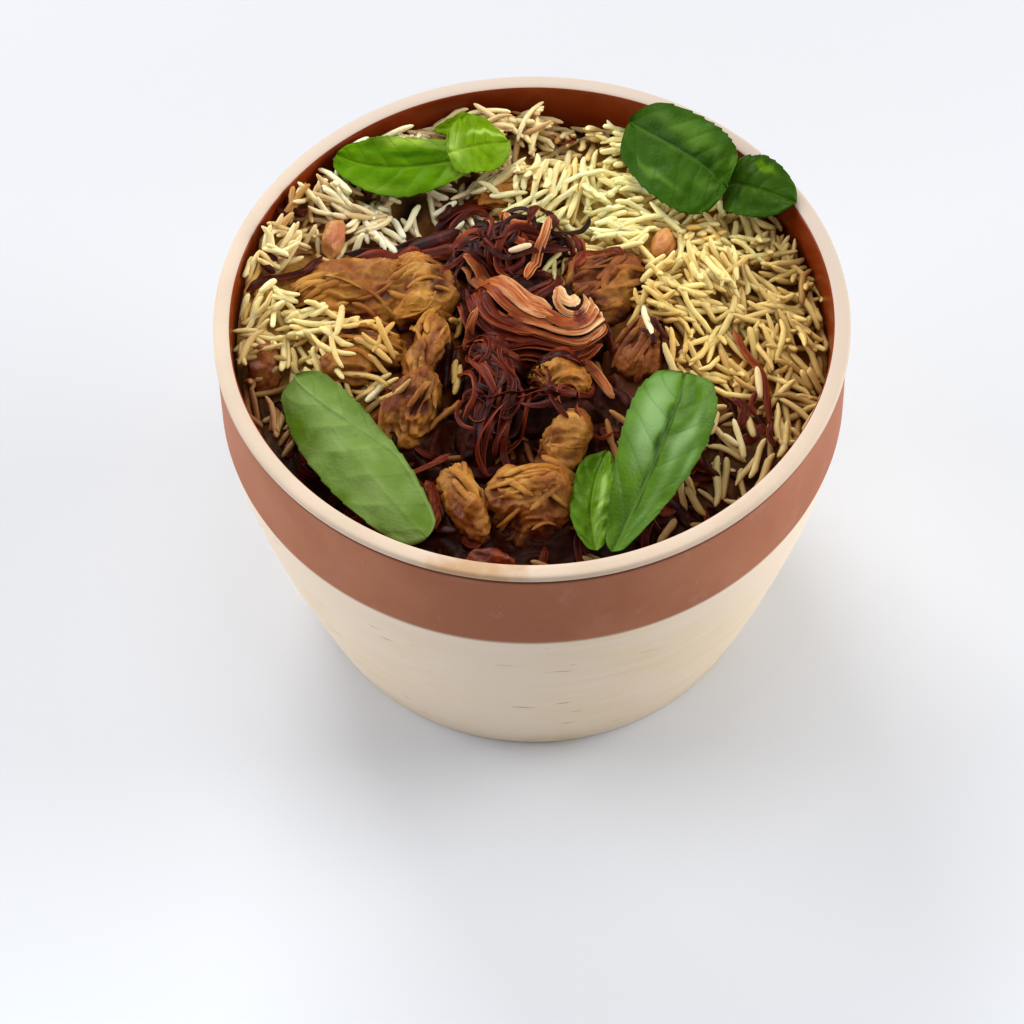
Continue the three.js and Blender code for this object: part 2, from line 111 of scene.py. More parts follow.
# Tints are a colour for each point and marks are named numbers for each point, which materials read.
def newPiece(name, points, quads, triangles=None, materials=(), faceMaterial=None, tints=None, marks=None):
    mesh = bpy.data.meshes.new(name)
    sets = [quads] if triangles is None else [quads, triangles]
    mesh.vertices.add(len(points))
    mesh.vertices.foreach_set("co", (np.asarray(points, np.float32) * toMetres).ravel())
    corners = np.concatenate([s.ravel() for s in sets])
    sizes = np.concatenate([np.full(len(s), s.shape[1]) for s in sets])
    mesh.loops.add(len(corners))
    mesh.loops.foreach_set("vertex_index", corners.astype(np.int32))
    mesh.polygons.add(len(sizes))
    mesh.polygons.foreach_set("loop_start", np.concatenate([[0], np.cumsum(sizes)[:-1]]).astype(np.int32))
    mesh.update(calc_edges=True)
    mesh.polygons.foreach_set("use_smooth", np.ones(len(sizes), bool))
    for material in materials:
        mesh.materials.append(material)
    if faceMaterial is not None:
        mesh.polygons.foreach_set("material_index", np.asarray(faceMaterial, np.int32))
    if tints is not None:
        colours = np.ones((len(points), 4), np.float32)
        colours[:, :3] = tints
        mesh.color_attributes.new("tint", "FLOAT_COLOR", "POINT").data.foreach_set("color", colours.ravel())
    for mark, values in (marks or {}).items():
        mesh.attributes.new(mark, "FLOAT", "POINT").data.foreach_set("value", np.asarray(values, np.float32))
    piece = bpy.data.objects.new(name, mesh)
    scene.collection.objects.link(piece)
    return piece


def belongs(piece, slotName, node):
    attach(piece, "root")
    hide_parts(node)


def srgb(red, green, blue):
    return tuple(((c / 255 + 0.055) / 1.055) ** 2.4 if c > 10 else c / 255 / 12.92
                 for c in (red, green, blue))


# One node with its settings and its inputs, each a value or another node's socket.
def addNode(tree, kind, inputs=None, **settings):
    node = tree.nodes.new(kind)
    for key, value in settings.items():
        setattr(node, key, value)
    for key, value in (inputs or {}).items():
        if isinstance(value, bpy.types.NodeSocket):
            tree.links.new(value, node.inputs[key])
        else:
            node.inputs[key].default_value = value
    return node


def calculate(tree, operation, *values, **settings):
    inputs = dict(enumerate(values))
    return addNode(tree, "ShaderNodeMath", inputs, operation=operation, **settings).outputs[0]


def calculateVector(tree, operation, first, second, output):
    return addNode(tree, "ShaderNodeVectorMath", {0: first, 1: second}, operation=operation).outputs[output]


def placeOn(tree):
    return addNode(tree, "ShaderNodeTexCoord").outputs["Object"]


def heightOn(tree, place):
    return addNode(tree, "ShaderNodeSeparateXYZ", {"Vector": place}).outputs["Z"]


def markOn(tree, name, output="Fac"):
    return addNode(tree, "ShaderNodeAttribute", attribute_name=name).outputs[output]


def noiseOn(tree, place, scale, detail, roughness=0.5):
    inputs = {"Vector": place, "Scale": scale, "Detail": detail, "Roughness": roughness}
    return addNode(tree, "ShaderNodeTexNoise", inputs).outputs["Fac"]


def maskBetween(tree, value, low, high, most=1.0):
    inputs = {"Value": value, "From Min": low, "From Max": high, "To Max": most}
    return addNode(tree, "ShaderNodeMapRange", inputs, interpolation_type="SMOOTHSTEP").outputs["Result"]


def mixColours(tree, share, first, second, blend="MIX"):
    node = addNode(tree, "ShaderNodeMix", data_type="RGBA", blend_type=blend)
    for index, value in ((0, share), (6, first), (7, second)):
        if isinstance(value, bpy.types.NodeSocket):
            tree.links.new(value, node.inputs[index])
        else:
            node.inputs[index].default_value = (*value, 1) if index else value
    return node.outputs[2]


# Lays colours over the first one, each through its own mask.
def layColours(tree, colour, *layers):
    for mask, over in layers:
        colour = mixColours(tree, mask, colour, over)
    return colour


def rampOf(tree, value, stops):
    node = addNode(tree, "ShaderNodeValToRGB", {"Fac": value})
    elements = node.color_ramp.elements
    while len(elements) < len(stops):
        elements.new(0.5)
    for element, (place, colour) in zip(elements, stops):
        element.position, element.color = place, (*colour, 1)
    return node.outputs["Color"]


def newGroup(name, inputs, output, kind):
    group = bpy.data.node_groups.new(name, "ShaderNodeTree")
    for label, value in inputs.items():
        socket = group.interface.new_socket(label, in_out="INPUT", socket_type="NodeSocketFloat")
        socket.default_value = value
    group.interface.new_socket(output, in_out="OUTPUT", socket_type=kind)
    given, made = group.nodes.new("NodeGroupInput"), group.nodes.new("NodeGroupOutput")
    return group, given.outputs, made.inputs[output]


# Uneven patches, large ones broken by small ones.
def makePatches():
    group, given, made = newGroup("unevenPatches", {"Size": 60.0, "Low": 0.4, "High": 0.6}, "Mask",
                                  "NodeSocketFloat")
    texture = noiseOn(group, placeOn(group), given["Size"], 5.0, 0.6)
    group.links.new(maskBetween(group, texture, given["Low"], given["High"]), made)
    return group


# Fine relief such as grit or pores, added to a height from the material.
def makeGrit():
    group, given, made = newGroup("surfaceGrit", {"Size": 700.0, "Depth": 0.2, "Height": 0.0}, "Normal",
                                  "NodeSocketVector")
    total = calculate(group, "ADD", noiseOn(group, placeOn(group), given["Size"], 3.0), given["Height"])
    bump = addNode(group, "ShaderNodeBump", {"Strength": given["Depth"], "Distance": 0.0004, "Height": total})
    group.links.new(bump.outputs["Normal"], made)
    return group


patchesGroup, gritGroup = makePatches(), makeGrit()


def patches(tree, size, low, high):
    inputs = {"Size": size, "Low": low, "High": high}
    return addNode(tree, "ShaderNodeGroup", inputs, node_tree=patchesGroup).outputs["Mask"]


def grit(tree, size, depth, height=0.0):
    inputs = {"Size": size, "Depth": depth, "Height": height}
    return addNode(tree, "ShaderNodeGroup", inputs, node_tree=gritGroup).outputs["Normal"]


# Inner light, for food, is its weight, how far red, green and blue go in it, and its scale in metres.
def startMaterial(name, roughness=0.5, specular=0.5, innerLight=None):
    material = bpy.data.materials.new(name)
    material.use_nodes = True
    shader = material.node_tree.nodes["Principled BSDF"]
    fixed = {"Roughness": roughness, "Specular IOR Level": specular}
    if innerLight:
        fixed.update(zip(("Subsurface Weight", "Subsurface Radius", "Subsurface Scale"), innerLight))
    for key, value in fixed.items():
        shader.inputs[key].default_value = value
    return material, material.node_tree, shader


def dress(tree, shader, colour, normal=None, roughness=None):
    for socket, value in (("Base Color", colour), ("Normal", normal), ("Roughness", roughness)):
        if value is not None:
            tree.links.new(value, shader.inputs[socket])


cameraSettings = {
    "target": (-5.9, 0.0, 22.3), "pitch": 54.42, "roll": -1.24, "distance": 1197.3,
    "lens": 158.2, "sensor": 36.0,
}


def placeCamera(settings):
    pitch, roll = math.radians(settings["pitch"]), math.radians(settings["roll"])
    forward = Vector((0, math.cos(pitch), -math.sin(pitch)))
    right, up = Vector((1, 0, 0)), Vector((1, 0, 0)).cross(forward)
    turnedRight = math.cos(roll) * right + math.sin(roll) * up
    turnedUp = math.cos(roll) * up - math.sin(roll) * right
    place = (Vector(settings["target"]) - settings["distance"] * forward) * toMetres
    lens = bpy.data.cameras.new("tableCamera")
    lens.sensor_width, lens.lens = settings["sensor"], settings["lens"]
    camera = bpy.data.objects.new("tableCamera", lens)
    scene.collection.objects.link(camera)
    camera.matrix_world = Matrix([*zip(turnedRight, turnedUp, -forward, place), (0, 0, 0, 1)])
    scene.camera = camera


# Places and sizes of the lamps are in metres; all of them point at the middle of the bowl.
skySettings = {"colour": (1.0, 0.985, 0.96), "strength": 0.38}
lampSettings = {
    "windowBack": {"place": (-0.35, 0.95, 0.85), "size": 0.6, "power": 9.6, "colour": (1.0, 0.985, 0.965)},
    "windowLeft": {"place": (-0.95, 0.10, 0.50), "size": 0.6, "power": 6.8, "colour": (0.98, 0.985, 1.0)},
    "windowRight": {"place": (0.95, 0.10, 0.45), "size": 0.6, "power": 9.0, "colour": (1.0, 0.99, 0.97)},
    "overhead": {"place": (0.05, 0.05, 1.1), "size": 0.4, "power": 2.0, "colour": (1.0, 1.0, 1.0)},
}
lampAim = (0, 0, 0.08)


def placeLights(sky, lamps):
    world = bpy.data.worlds.new("studioSky")
    world.use_nodes = True
    background = world.node_tree.nodes["Background"]
    background.inputs["Color"].default_value = (*sky["colour"], 1)
    background.inputs["Strength"].default_value = sky["strength"]
    scene.world = world
    for name, each in lamps.items():
        lamp = bpy.data.lights.new(name, "AREA")
        lamp.shape, lamp.size, lamp.energy, lamp.color = "SQUARE", each["size"], each["power"], each["colour"]
        light = bpy.data.objects.new(name, lamp)
        scene.collection.objects.link(light)
        light.location = each["place"]
        light.rotation_mode = "QUATERNION"
        light.rotation_quaternion = (Vector(lampAim) - Vector(each["place"])).to_track_quat("-Z", "Y")


# The floor is painted a little darker behind, as painted shade against the brighter light of the back window
# that falls there; deepens from and to are in metres.
floorLook = {"half": 4000.0, "near": (223, 227, 234), "far": (199, 202, 208), "deepens": (-0.2, 0.2)}


def layFloor(look):
    material, tree, shader = startMaterial("paleTable", roughness=1.0, specular=0.0)
    behind = calculateVector(tree, "DOT_PRODUCT", placeOn(tree), (-0.1, 1.0, 0.0), "Value")
    dress(tree, shader, mixColours(tree, maskBetween(tree, behind, *look["deepens"]), srgb(*look["near"]),
                                   srgb(*look["far"])))
    half = look["half"]
    floor = newPiece("paleTableTop", [(-half, -half, 0), (half, -half, 0), (half, half, 0), (-half, half, 0)],
                     np.array([(0, 1, 2, 3)]), materials=[material])


placeCamera(cameraSettings)
placeLights(skySettings, lampSettings)
layFloor(floorLook)
print("camera, lights and floor are in place")

bowl = {
    "height": 106.4, "rimRadius": 80.0, "rimWidth": 4.4, "lipHeight": 1.8, "bandRadius": 79.5,
    "bandBottom": 78.0, "bandStep": 0.25, "baseRadius": 59.0, "footRound": 1.2, "flare": 1.3, "wall": 5.0,
    "floor": 7.0, "cornerHeight": 16.0, "segments": 288, "unevenness": 0.12, "edgeWobble": 0.12,
}
rimInner = bowl["rimRadius"] - bowl["rimWidth"]


def outerRadius(z):
    rise = np.minimum(1, z / bowl["bandBottom"])
    return bowl["baseRadius"] + (bowl["bandRadius"] - bowl["baseRadius"]) * (1 - (1 - rise) ** bowl["flare"])


def innerRadius(z):
    upper = smoothBetween(bowl["bandBottom"], bowl["height"], z)
    return (outerRadius(z) - bowl["wall"]) * (1 - upper) + rimInner * upper


# The stretches of the profile, from the middle of the underside round to the floor inside, as radii and
# heights: body, band, rim and glaze.
def bowlProfile():
    base, band, rim, top = (bowl[key] for key in ("baseRadius", "bandRadius", "rimRadius", "height"))
    low, lip, foot, floor = bowl["bandBottom"], top - bowl["lipHeight"], bowl["footRound"], bowl["floor"]
    corner = [(base - foot + foot * math.sin(a), foot - foot * math.cos(a))
              for a in np.linspace(0, math.pi / 2, 6)]
    wall = [(float(outerRadius(z)) - bowl["bandStep"], z) for z in np.linspace(2 * foot, low - 0.35, 60)]
    upright = [(band, z) for z in np.linspace(low + 0.3, lip - 0.55, 26)]
    inside = [(float(innerRadius(z)), z) for z in np.linspace(lip, bowl["cornerHeight"], 40)]
    turn = inside[-1][0]
    return [
        [(0, 0), (20, 0), (45, 0)] + corner + wall,
        [(band - 0.05, low)] + upright + [(band - 0.5, lip - 0.35), (band - 0.65, lip - 0.05)],
        [(rim - 0.4, lip + 0.02), (rim, lip + 0.3), (rim, lip + 0.9), (rim - 0.15, top - 0.35),
         (rim - 0.5, top - 0.08), (rim - 1.1, top), (rim - 1.8, top + 0.04), (rim - 2.6, top + 0.04),
         (rimInner + 0.9, top), (rimInner + 0.35, top - 0.15)],
        [(rimInner + 0.08, top - 0.5), (rimInner, top - 1.0)] + inside
        + [(turn - 2.4, 11), (turn - 7, 8), (turn - 15, floor), (20, floor), (0, floor)],
    ]


def bodyClay():
    material, tree, shader = startMaterial("creamStoneware", roughness=0.62, specular=0.3)
    place = placeOn(tree)
    height = heightOn(tree, place)
    # brushed round the wall: long level streaks, then a few short smears
    level = addNode(tree, "ShaderNodeMapping", {"Vector": place, "Scale": (0.25, 0.25, 1.6)}).outputs[0]
    streaks, smears = noiseOn(tree, level, 130.0, 5.0), noiseOn(tree, level, 330.0, 2.0)
    foot = mixColours(tree, patches(tree, 30.0, 0.42, 0.78), srgb(230, 212, 188), srgb(211, 186, 138))
    colour = layColours(tree, srgb(236, 217, 193),
                        (patches(tree, 18.0, 0.45, 0.7), srgb(233, 211, 175)),
                        (maskBetween(tree, streaks, 0.42, 0.72), srgb(238, 218, 198)),
                        (maskBetween(tree, smears, 0.68, 0.78), srgb(188, 168, 132)),
                        (maskBetween(tree, height, 0.013, 0.001), foot),
                        # painted shadow under the band's lower edge, on the top of the body
                        (maskBetween(tree, height, 0.0764, 0.0776), srgb(168, 128, 100)))
    dress(tree, shader, colour, grit(tree, 520.0, 0.12))
    return material


def bandClay():
    material, tree, shader = startMaterial("terracottaBand", roughness=0.6, specular=0.2)
    place = placeOn(tree)
    # pale specks in a fifth of the cells
    cells = addNode(tree, "ShaderNodeTexVoronoi", {"Vector": place, "Scale": 330.0})
    drawn = addNode(tree, "ShaderNodeSeparateColor", {"Color": cells.outputs["Color"]}).outputs[0]
    near = addNode(tree, "ShaderNodeMapRange",
                   {"Value": cells.outputs["Distance"], "From Min": 0.10, "From Max": 0.0})
    specks = calculate(tree, "MULTIPLY", calculate(tree, "GREATER_THAN", drawn, 0.8), near.outputs["Result"])
    colour = layColours(tree, srgb(160, 97, 66),
                        (patches(tree, 28.0, 0.35, 0.7), srgb(171, 108, 76)),
                        (patches(tree, 120.0, 0.55, 0.7), srgb(168, 110, 84)),
                        (specks, srgb(200, 160, 134)),
                        # painted shade under the rim's lip, at the top of the band
                        (maskBetween(tree, heightOn(tree, place), 0.1026, 0.1040), srgb(104, 46, 20)))
    dress(tree, shader, colour, grit(tree, 900.0, 0.16))
    return material


def rimClay():
    material, tree, shader = startMaterial("bareRim", roughness=0.5, specular=0.3)
    place = placeOn(tree)
    # the half of the rim towards the back and the right, which is painted darker, as painted shade against
    # the brighter back and right lamps
    away = calculateVector(tree, "DOT_PRODUCT", place, (0.45, 0.9, 0.0), "Value")
    # a drawn-out, ragged stain at the front
    squeezed = calculateVector(tree, "MULTIPLY", place, (0.58, 1.0, 1.0), "Vector")
    distance = calculateVector(tree, "DISTANCE", squeezed, (-0.0094, -0.0785, 0.1035), "Value")
    ragged = calculate(tree, "MULTIPLY_ADD", noiseOn(tree, place, 220.0, 3.0), 0.012, distance)
    colour = layColours(tree, srgb(213, 192, 171),
                        (patches(tree, 60.0, 0.35, 0.7), srgb(205, 185, 163)),
                        (maskBetween(tree, away, -0.03, 0.06), srgb(198, 181, 166)),
                        (maskBetween(tree, ragged, 0.017, 0.009, 0.66), srgb(184, 136, 76)))
    dress(tree, shader, colour, grit(tree, 700.0, 0.10))
    return material


def innerGlaze():
    material, tree, shader = startMaterial("chestnutGlaze", roughness=0.3, specular=0.22)
    dress(tree, shader, mixColours(tree, patches(tree, 40.0, 0.35, 0.7), srgb(120, 38, 4), srgb(136, 54, 14)))
    return material


def makeBowl():
    stretches, count = bowlProfile(), bowl["segments"]
    owner = np.repeat(np.arange(4), [len(points) for points in stretches])[1:-1]
    rings = np.array([point for points in stretches for point in points][1:-1], float)
    angles = anglesRound(count)
    around = np.stack([np.cos(angles), np.sin(angles)], -1)
    height = np.broadcast_to(rings[:, 1:, None], (len(rings), count, 1))
    points = np.concatenate([rings[:, :1, None] * around[None], height], -1)
    # thrown by hand: slight waves round the wall, none where it stands
    outside = owner[:, None] < 3
    waves = bowl["unevenness"] * noiseAt(points * (1, 1, 2.2), 26, 5) * smoothBetween(2, 12, points[..., 2])
    points[..., :2] += (waves * outside)[..., None] * around[None]
    ring = np.broadcast_to(around[None] * bowl["rimRadius"], points[..., :2].shape) @ np.eye(2, 3)
    wobble = bowl["edgeWobble"] * noiseAt(ring, 9, 8)
    points[..., 2] += wobble * np.exp(-((points[..., 2] - bowl["bandBottom"]) / 1.2) ** 2) * outside
    faceMaterial = np.concatenate([np.repeat(owner[1:], count), np.zeros(count), np.full(count, 3)])
    points = np.concatenate([points.reshape(-1, 3), [(0, 0, 0), (0, 0, bowl["floor"])]])
    quads, triangles = gridQuads(len(rings), count, wrap=True), endFans(len(rings), count)
    piece = newPiece("stonewareBowl", points, quads, triangles,
                     materials=[bodyClay(), bandClay(), rimClay(), innerGlaze()], faceMaterial=faceMaterial)
    belongs(piece, "stoneware", "bowl")


makeBowl()
print("bowl is thrown")

# The heap and the forms that lie on it, as in the solids. Swells are x, y, height and size.
rice = {
    "crown": 95.5, "wallGap": 0.4, "edgeDrop": 3.2, "frontDrop": 10.5,
    "swells": [(45, 20, 3.5, 17), (13, 50, 1.5, 15), (-34, 42, -2.0, 12), (-47, -46, -3.5, 14),
               (46, -44, -3.5, 13), (-76, 22, 9, 20), (-62, 46, 6, 17), (-42, 66, 5, 18), (-18, 74, 5, 18)],
}
# Mounds: x, y, length, width, turn in degrees and height.
moundFoot = 3.0
chicken = {
    "chicken_left": [(-44, 16, 34, 21, 8, 8.5), (-28, 16, 20, 23, 0, 8.5)],
    "chicken_left_round": [(-43, -3, 23, 18, -10, 8.5)],
    "chicken_strip": [(-26, -3, 26, 11, 80, 9), (-30, -20, 22, 15, 65, 9.5)],
    "chicken_centre": [(7, -13, 15, 12, 10, 8)],
    "chicken_right": [(19, 17, 24, 22, 30, 6.5)],
    "chicken_right_low": [(28, -3, 22, 14, 70, 6)],
    "chicken_front": [(-1, -47, 25, 20, 5, 9), (8, -33, 21, 12, 68, 8.5)],
    "chicken_front_sliver": [(-17, -46, 21, 9.5, -70, 8)],
    "chicken_back": [(0, 49, 27, 12, 4, 6)],
    "chicken_edge": [(-67.5, -6, 13, 8, 80, 5)],
}
bits = {
    "tomato_bit": [(-50, 33, 12, 5.5, 75, 5.5)],
    "orange_bit": [(34, 29, 13, 6.5, 70, 5.5)],
    "onion_lump_front": [(-13, -62, 15, 7, 8, 5)],
}
tangleMounds = [
    (-4, 29, 34, 21, 5, 8.5), (1, 6, 39, 30, -15, 9.5), (-11, -18, 42, 18, 82, 8), (5, -24, 28, 14, 0, 7.5),
]


def riceLevel(x, y):
    radius = np.hypot(x, y)
    towardsBack = np.where(radius > 0, y / np.maximum(radius, 1e-9), 0)
    front = rice["frontDrop"] * np.maximum(0, -towardsBack) ** 1.5
    reach = (radius / innerRadius(rice["crown"])) ** 2.2
    swell = sum(h * np.exp(-((x - atX) ** 2 + (y - atY) ** 2) / size ** 2)
                for atX, atY, h, size in rice["swells"])
    return rice["crown"] - (rice["edgeDrop"] + front) * reach + swell


class MoundForm:
    def __init__(self, shape):
        self.x, self.y, self.length, self.width, turn, self.height = shape
        draw = seeded(round(self.x * 31 + self.y * 17) + 1000)
        self.phases = [draw(0, 2 * math.pi) for _ in range(4)]
        self.turn = math.radians(turn)
        self.cos, self.sin = math.cos(self.turn), math.sin(self.turn)

    def uneven(self, angle):
        return 1 + 0.07 * np.sin(3 * angle + self.phases[0]) + 0.05 * np.sin(5 * angle + self.phases[1])

    def outline(self, angle, share, grow=0.0):
        along = ((self.length / 2) * self.uneven(angle) + grow) * share * np.cos(angle)
        across = ((self.width / 2) * self.uneven(angle) + grow) * share * np.sin(angle)
        return self.x + along * self.cos - across * self.sin, self.y + along * self.sin + across * self.cos

    def top(self, x, y, share):
        relief = 0.09 * self.height * (np.sin(x / 2.3 + self.phases[2]) + np.sin(y / 2.7 + self.phases[3]))
        dome = (self.height + moundFoot) * np.sqrt(np.maximum(0, 1 - share ** 3)) - moundFoot
        return dome + relief * (1 - share)

    # 0 in the middle and 1 at the outline
    def shareAt(self, x, y):
        dx, dy = x - self.x, y - self.y
        along = (dx * self.cos + dy * self.sin) / (self.length / 2)
        across = (dy * self.cos - dx * self.sin) / (self.width / 2)
        return np.hypot(along, across) / self.uneven(np.arctan2(across, along))

    def topAt(self, x, y):
        share = self.shareAt(x, y)
        return np.where(share < 1, self.top(x, y, np.minimum(share, 1)), 0)


chickenForms, bitForms = ([MoundForm(s) for s in sum(pieces.values(), [])] for pieces in (chicken, bits))
tangleForms = [MoundForm(s) for s in tangleMounds]
solidForms = chickenForms + bitForms


def topOver(x, y, forms):
    return np.max([form.topAt(x, y) for form in forms], axis=0)


def shareOver(x, y, forms):
    return np.min([form.shareAt(x, y) for form in forms], axis=0)


def pileTop(x, y, forms):
    return riceLevel(x, y) + np.maximum(0, topOver(x, y, forms))


# Voxel is the spacing of the sculpted surface. The rest is the size and the height of its relief.
chickenLook = {
    "voxel": 0.4, "chunks": (7.5, 1.7), "lumps": (3.4, 0.5), "fibres": (1.1, 1.1), "crumbs": (1.0, 0.26),
}
# From 0, browned, to 1, golden.
chickenTone = {
    "chicken_left": 0.6, "chicken_left_round": 0.74, "chicken_strip": 0.5, "chicken_centre": 0.7,
    "chicken_right": 0.16, "chicken_right_low": -0.16, "chicken_front": 0.48, "chicken_front_sliver": 0.45,
    "chicken_back": 1.0, "chicken_edge": -0.3,
}


def chickenFlesh():
    material, tree, shader = startMaterial("roastedChicken", specular=0.24,
                                           innerLight=(0.06, (1.0, 0.4, 0.1), 0.0012))
    creaseShade, low, fibre, golden = (markOn(tree, name) for name in ("creaseShade", "low", "fibre", "golden"))
    gold = mixColours(tree, patches(tree, 130.0, 0.4, 0.62), srgb(168, 104, 30), srgb(190, 136, 56))
    brown = mixColours(tree, patches(tree, 160.0, 0.42, 0.62), srgb(136, 74, 22), srgb(100, 42, 12))
    uneven = calculate(tree, "MULTIPLY_ADD", patches(tree, 85.0, 0.34, 0.68), 1.1, -0.55)
    colour = layColours(tree, brown,
                        (calculate(tree, "ADD", golden, uneven, use_clamp=True), gold),
                        (maskBetween(tree, fibre, 0.35, 1.3), srgb(118, 60, 16)),
                        # the creases are painted darker, as painted shade
                        (maskBetween(tree, creaseShade, 0.25, 0.9), srgb(82, 32, 8)),
                        # the foot of the meat, where it meets the rice, is painted darkest, as painted shade
                        (maskBetween(tree, low, 0.1, 1.0), srgb(66, 22, 4)))
    sauce = rampOf(tree, patches(tree, 110.0, 0.42, 0.62), [(0.0, (0.62,) * 3), (1.0, (0.38,) * 3)])
    dress(tree, shader, colour, grit(tree, 900.0, 0.6), sauce)
    return material


# The mounds as closed skins in one object, joined into one surface with even spacing.
def joinedMounds(name, shapes, spacing, grow=0.0):
    points, quads, triangles, sides = [], [], [], 72
    angle = anglesRound(sides)
    for form in map(MoundForm, shapes):
        start, rings = sum(map(len, points)), []
        for share in np.sin(np.linspace(0.03, 0.5, 20) * math.pi):
            x, y = form.outline(angle, share, grow)
            rings.append(np.stack([x, y, riceLevel(x, y) + form.top(x, y, share) + grow], -1))
        for share in (0.7, 0.35):
            x, y = form.outline(angle, share, grow)
            rings.append(np.stack([x, y, riceLevel(x, y) - moundFoot - 0.6], -1))
        x, y, level = form.x, form.y, riceLevel(form.x, form.y)
        crown, foot = level + form.top(x, y, 0.0) + grow, level - moundFoot - 0.6
        rings.append(np.array([(x, y, crown), (x, y, foot)], float))
        quads.append(gridQuads(len(rings) - 1, sides, wrap=True, start=start))
        triangles.append(endFans(len(rings) - 1, sides, start))
        points.append(np.concatenate(rings))
    rough = newPiece(name + "Rough", np.concatenate(points), np.concatenate(quads)[:, ::-1],
                     np.concatenate(triangles)[:, ::-1])
    remesh = rough.modifiers.new("even", "REMESH")
    remesh.mode, remesh.voxel_size, remesh.use_smooth_shade = "VOXEL", spacing * toMetres, True
    smooth = rough.modifiers.new("soft", "SMOOTH")
    smooth.iterations, smooth.factor = 3, 0.5
    made = rough.evaluated_get(bpy.context.evaluated_depsgraph_get()).to_mesh()
    place, normal = np.empty(len(made.vertices) * 3), np.empty(len(made.vertices) * 3)
    made.vertices.foreach_get("co", place)
    made.vertex_normals.foreach_get("vector", normal)
    faces = np.empty(len(made.loops), np.int32)
    made.loops.foreach_get("vertex_index", faces)
    bpy.data.objects.remove(rough)
    return place.reshape(-1, 3) / toMetres, normal.reshape(-1, 3), faces.reshape(-1, 4)


# Fibres run along the piece, so the noise is stretched that way.
def makeMeat(node, shapes, material, look, slotName, seed):
    place, normal, quads = joinedMounds(node, shapes, look["voxel"])
    turn = math.radians(shapes[0][4])
    along = place[:, 0] * math.cos(turn) + place[:, 1] * math.sin(turn)
    across = place[:, 1] * math.cos(turn) - place[:, 0] * math.sin(turn)
    bent = across + 2.6 * noiseAt(place, 9, seed + 3)
    drawn = np.stack([along / 8, bent, 0.8 * place[:, 2]], -1)
    lessDrawn = np.stack([along / 1.7, bent, place[:, 2]], -1)
    chunks = noiseAt(place * (1, 1, 1.3), look["chunks"][0], seed)
    lumps = ridges(lessDrawn, look["lumps"][0], seed + 1, 2.4)
    width = look["fibres"][0]
    fibres = 0.65 * ridges(drawn, 1.6 * width, seed + 5, 2.4)
    fibres = fibres + 0.35 * noiseAt(drawn * (1.4, 1, 1), 0.6 * width, seed + 6)
    patchy = smoothBetween(-0.5, 0.3, noiseAt(place, 8, seed + 9))
    crumbs = noiseAt(place, look["crumbs"][0], seed + 7)
    depth = (look["chunks"][1] * chunks + look["lumps"][1] * lumps + look["fibres"][1] * fibres * patchy
             + look["crumbs"][1] * crumbs)
    level = riceLevel(place[:, 0], place[:, 1])
    shown = smoothBetween(-2.5, 0.5, place[:, 2] - level)
    place = place + normal * (depth * shown - 0.35)[:, None]
    marks = {
        # darker in the creases, as painted shade
        "creaseShade": np.clip(0.26 - 0.5 * chunks - 0.42 * lumps, 0, 1),
        "fibre": np.clip(0.4 - 1.1 * fibres * patchy, 0, 1.3),
        # darker towards the foot where the meat meets the rice, as painted shade
        "low": 1 - smoothBetween(0.0, 3.4, place[:, 2] - level + 1.5 * chunks),
        "golden": np.full(len(place), chickenTone.get(node, 0.5)),
    }
    belongs(newPiece(node + "Meat", place, quads, materials=[material], marks=marks), slotName, node)


flesh = chickenFlesh()
for index, (node, shapes) in enumerate(chicken.items()):
    makeMeat(node, shapes, flesh, chickenLook, "chicken", 40 + 31 * index)
print("chicken is sculpted")

bitForm = {
    "voxel": 0.36, "chunks": (5.0, 0.7), "lumps": (2.6, 0.4), "fibres": (1.2, 0.3), "crumbs": (0.8, 0.12),
}
bitLook = {
    "tomato_bit": {"colours": ((208, 156, 94), (190, 112, 68)), "slot": "tomato", "rough": 0.35},
    "orange_bit": {"colours": ((206, 142, 72), (176, 108, 48)), "slot": "tomato", "rough": 0.4},
    "onion_lump_front": {"colours": ((142, 62, 26), (88, 30, 10)), "slot": "fried_onion", "rough": 0.4},
}


def bitSkin(name, look):
    material, tree, shader = startMaterial(name + "Skin", roughness=look["rough"], specular=0.35)
    first, second = (srgb(*colour) for colour in look["colours"])
    colour = layColours(tree, first, (patches(tree, 180.0, 0.4, 0.6), second),
                        # the creases are painted darker, as painted shade
                        (maskBetween(tree, markOn(tree, "creaseShade"), 0.4, 1.0), srgb(70, 22, 6)))
    dress(tree, shader, colour, grit(tree, 1400.0, 0.3))
    return material


for index, (node, shapes) in enumerate(bits.items()):
    makeMeat(node, shapes, bitSkin(node, bitLook[node]), bitForm, bitLook[node]["slot"], 900 + 31 * index)
print("small bits are sculpted")
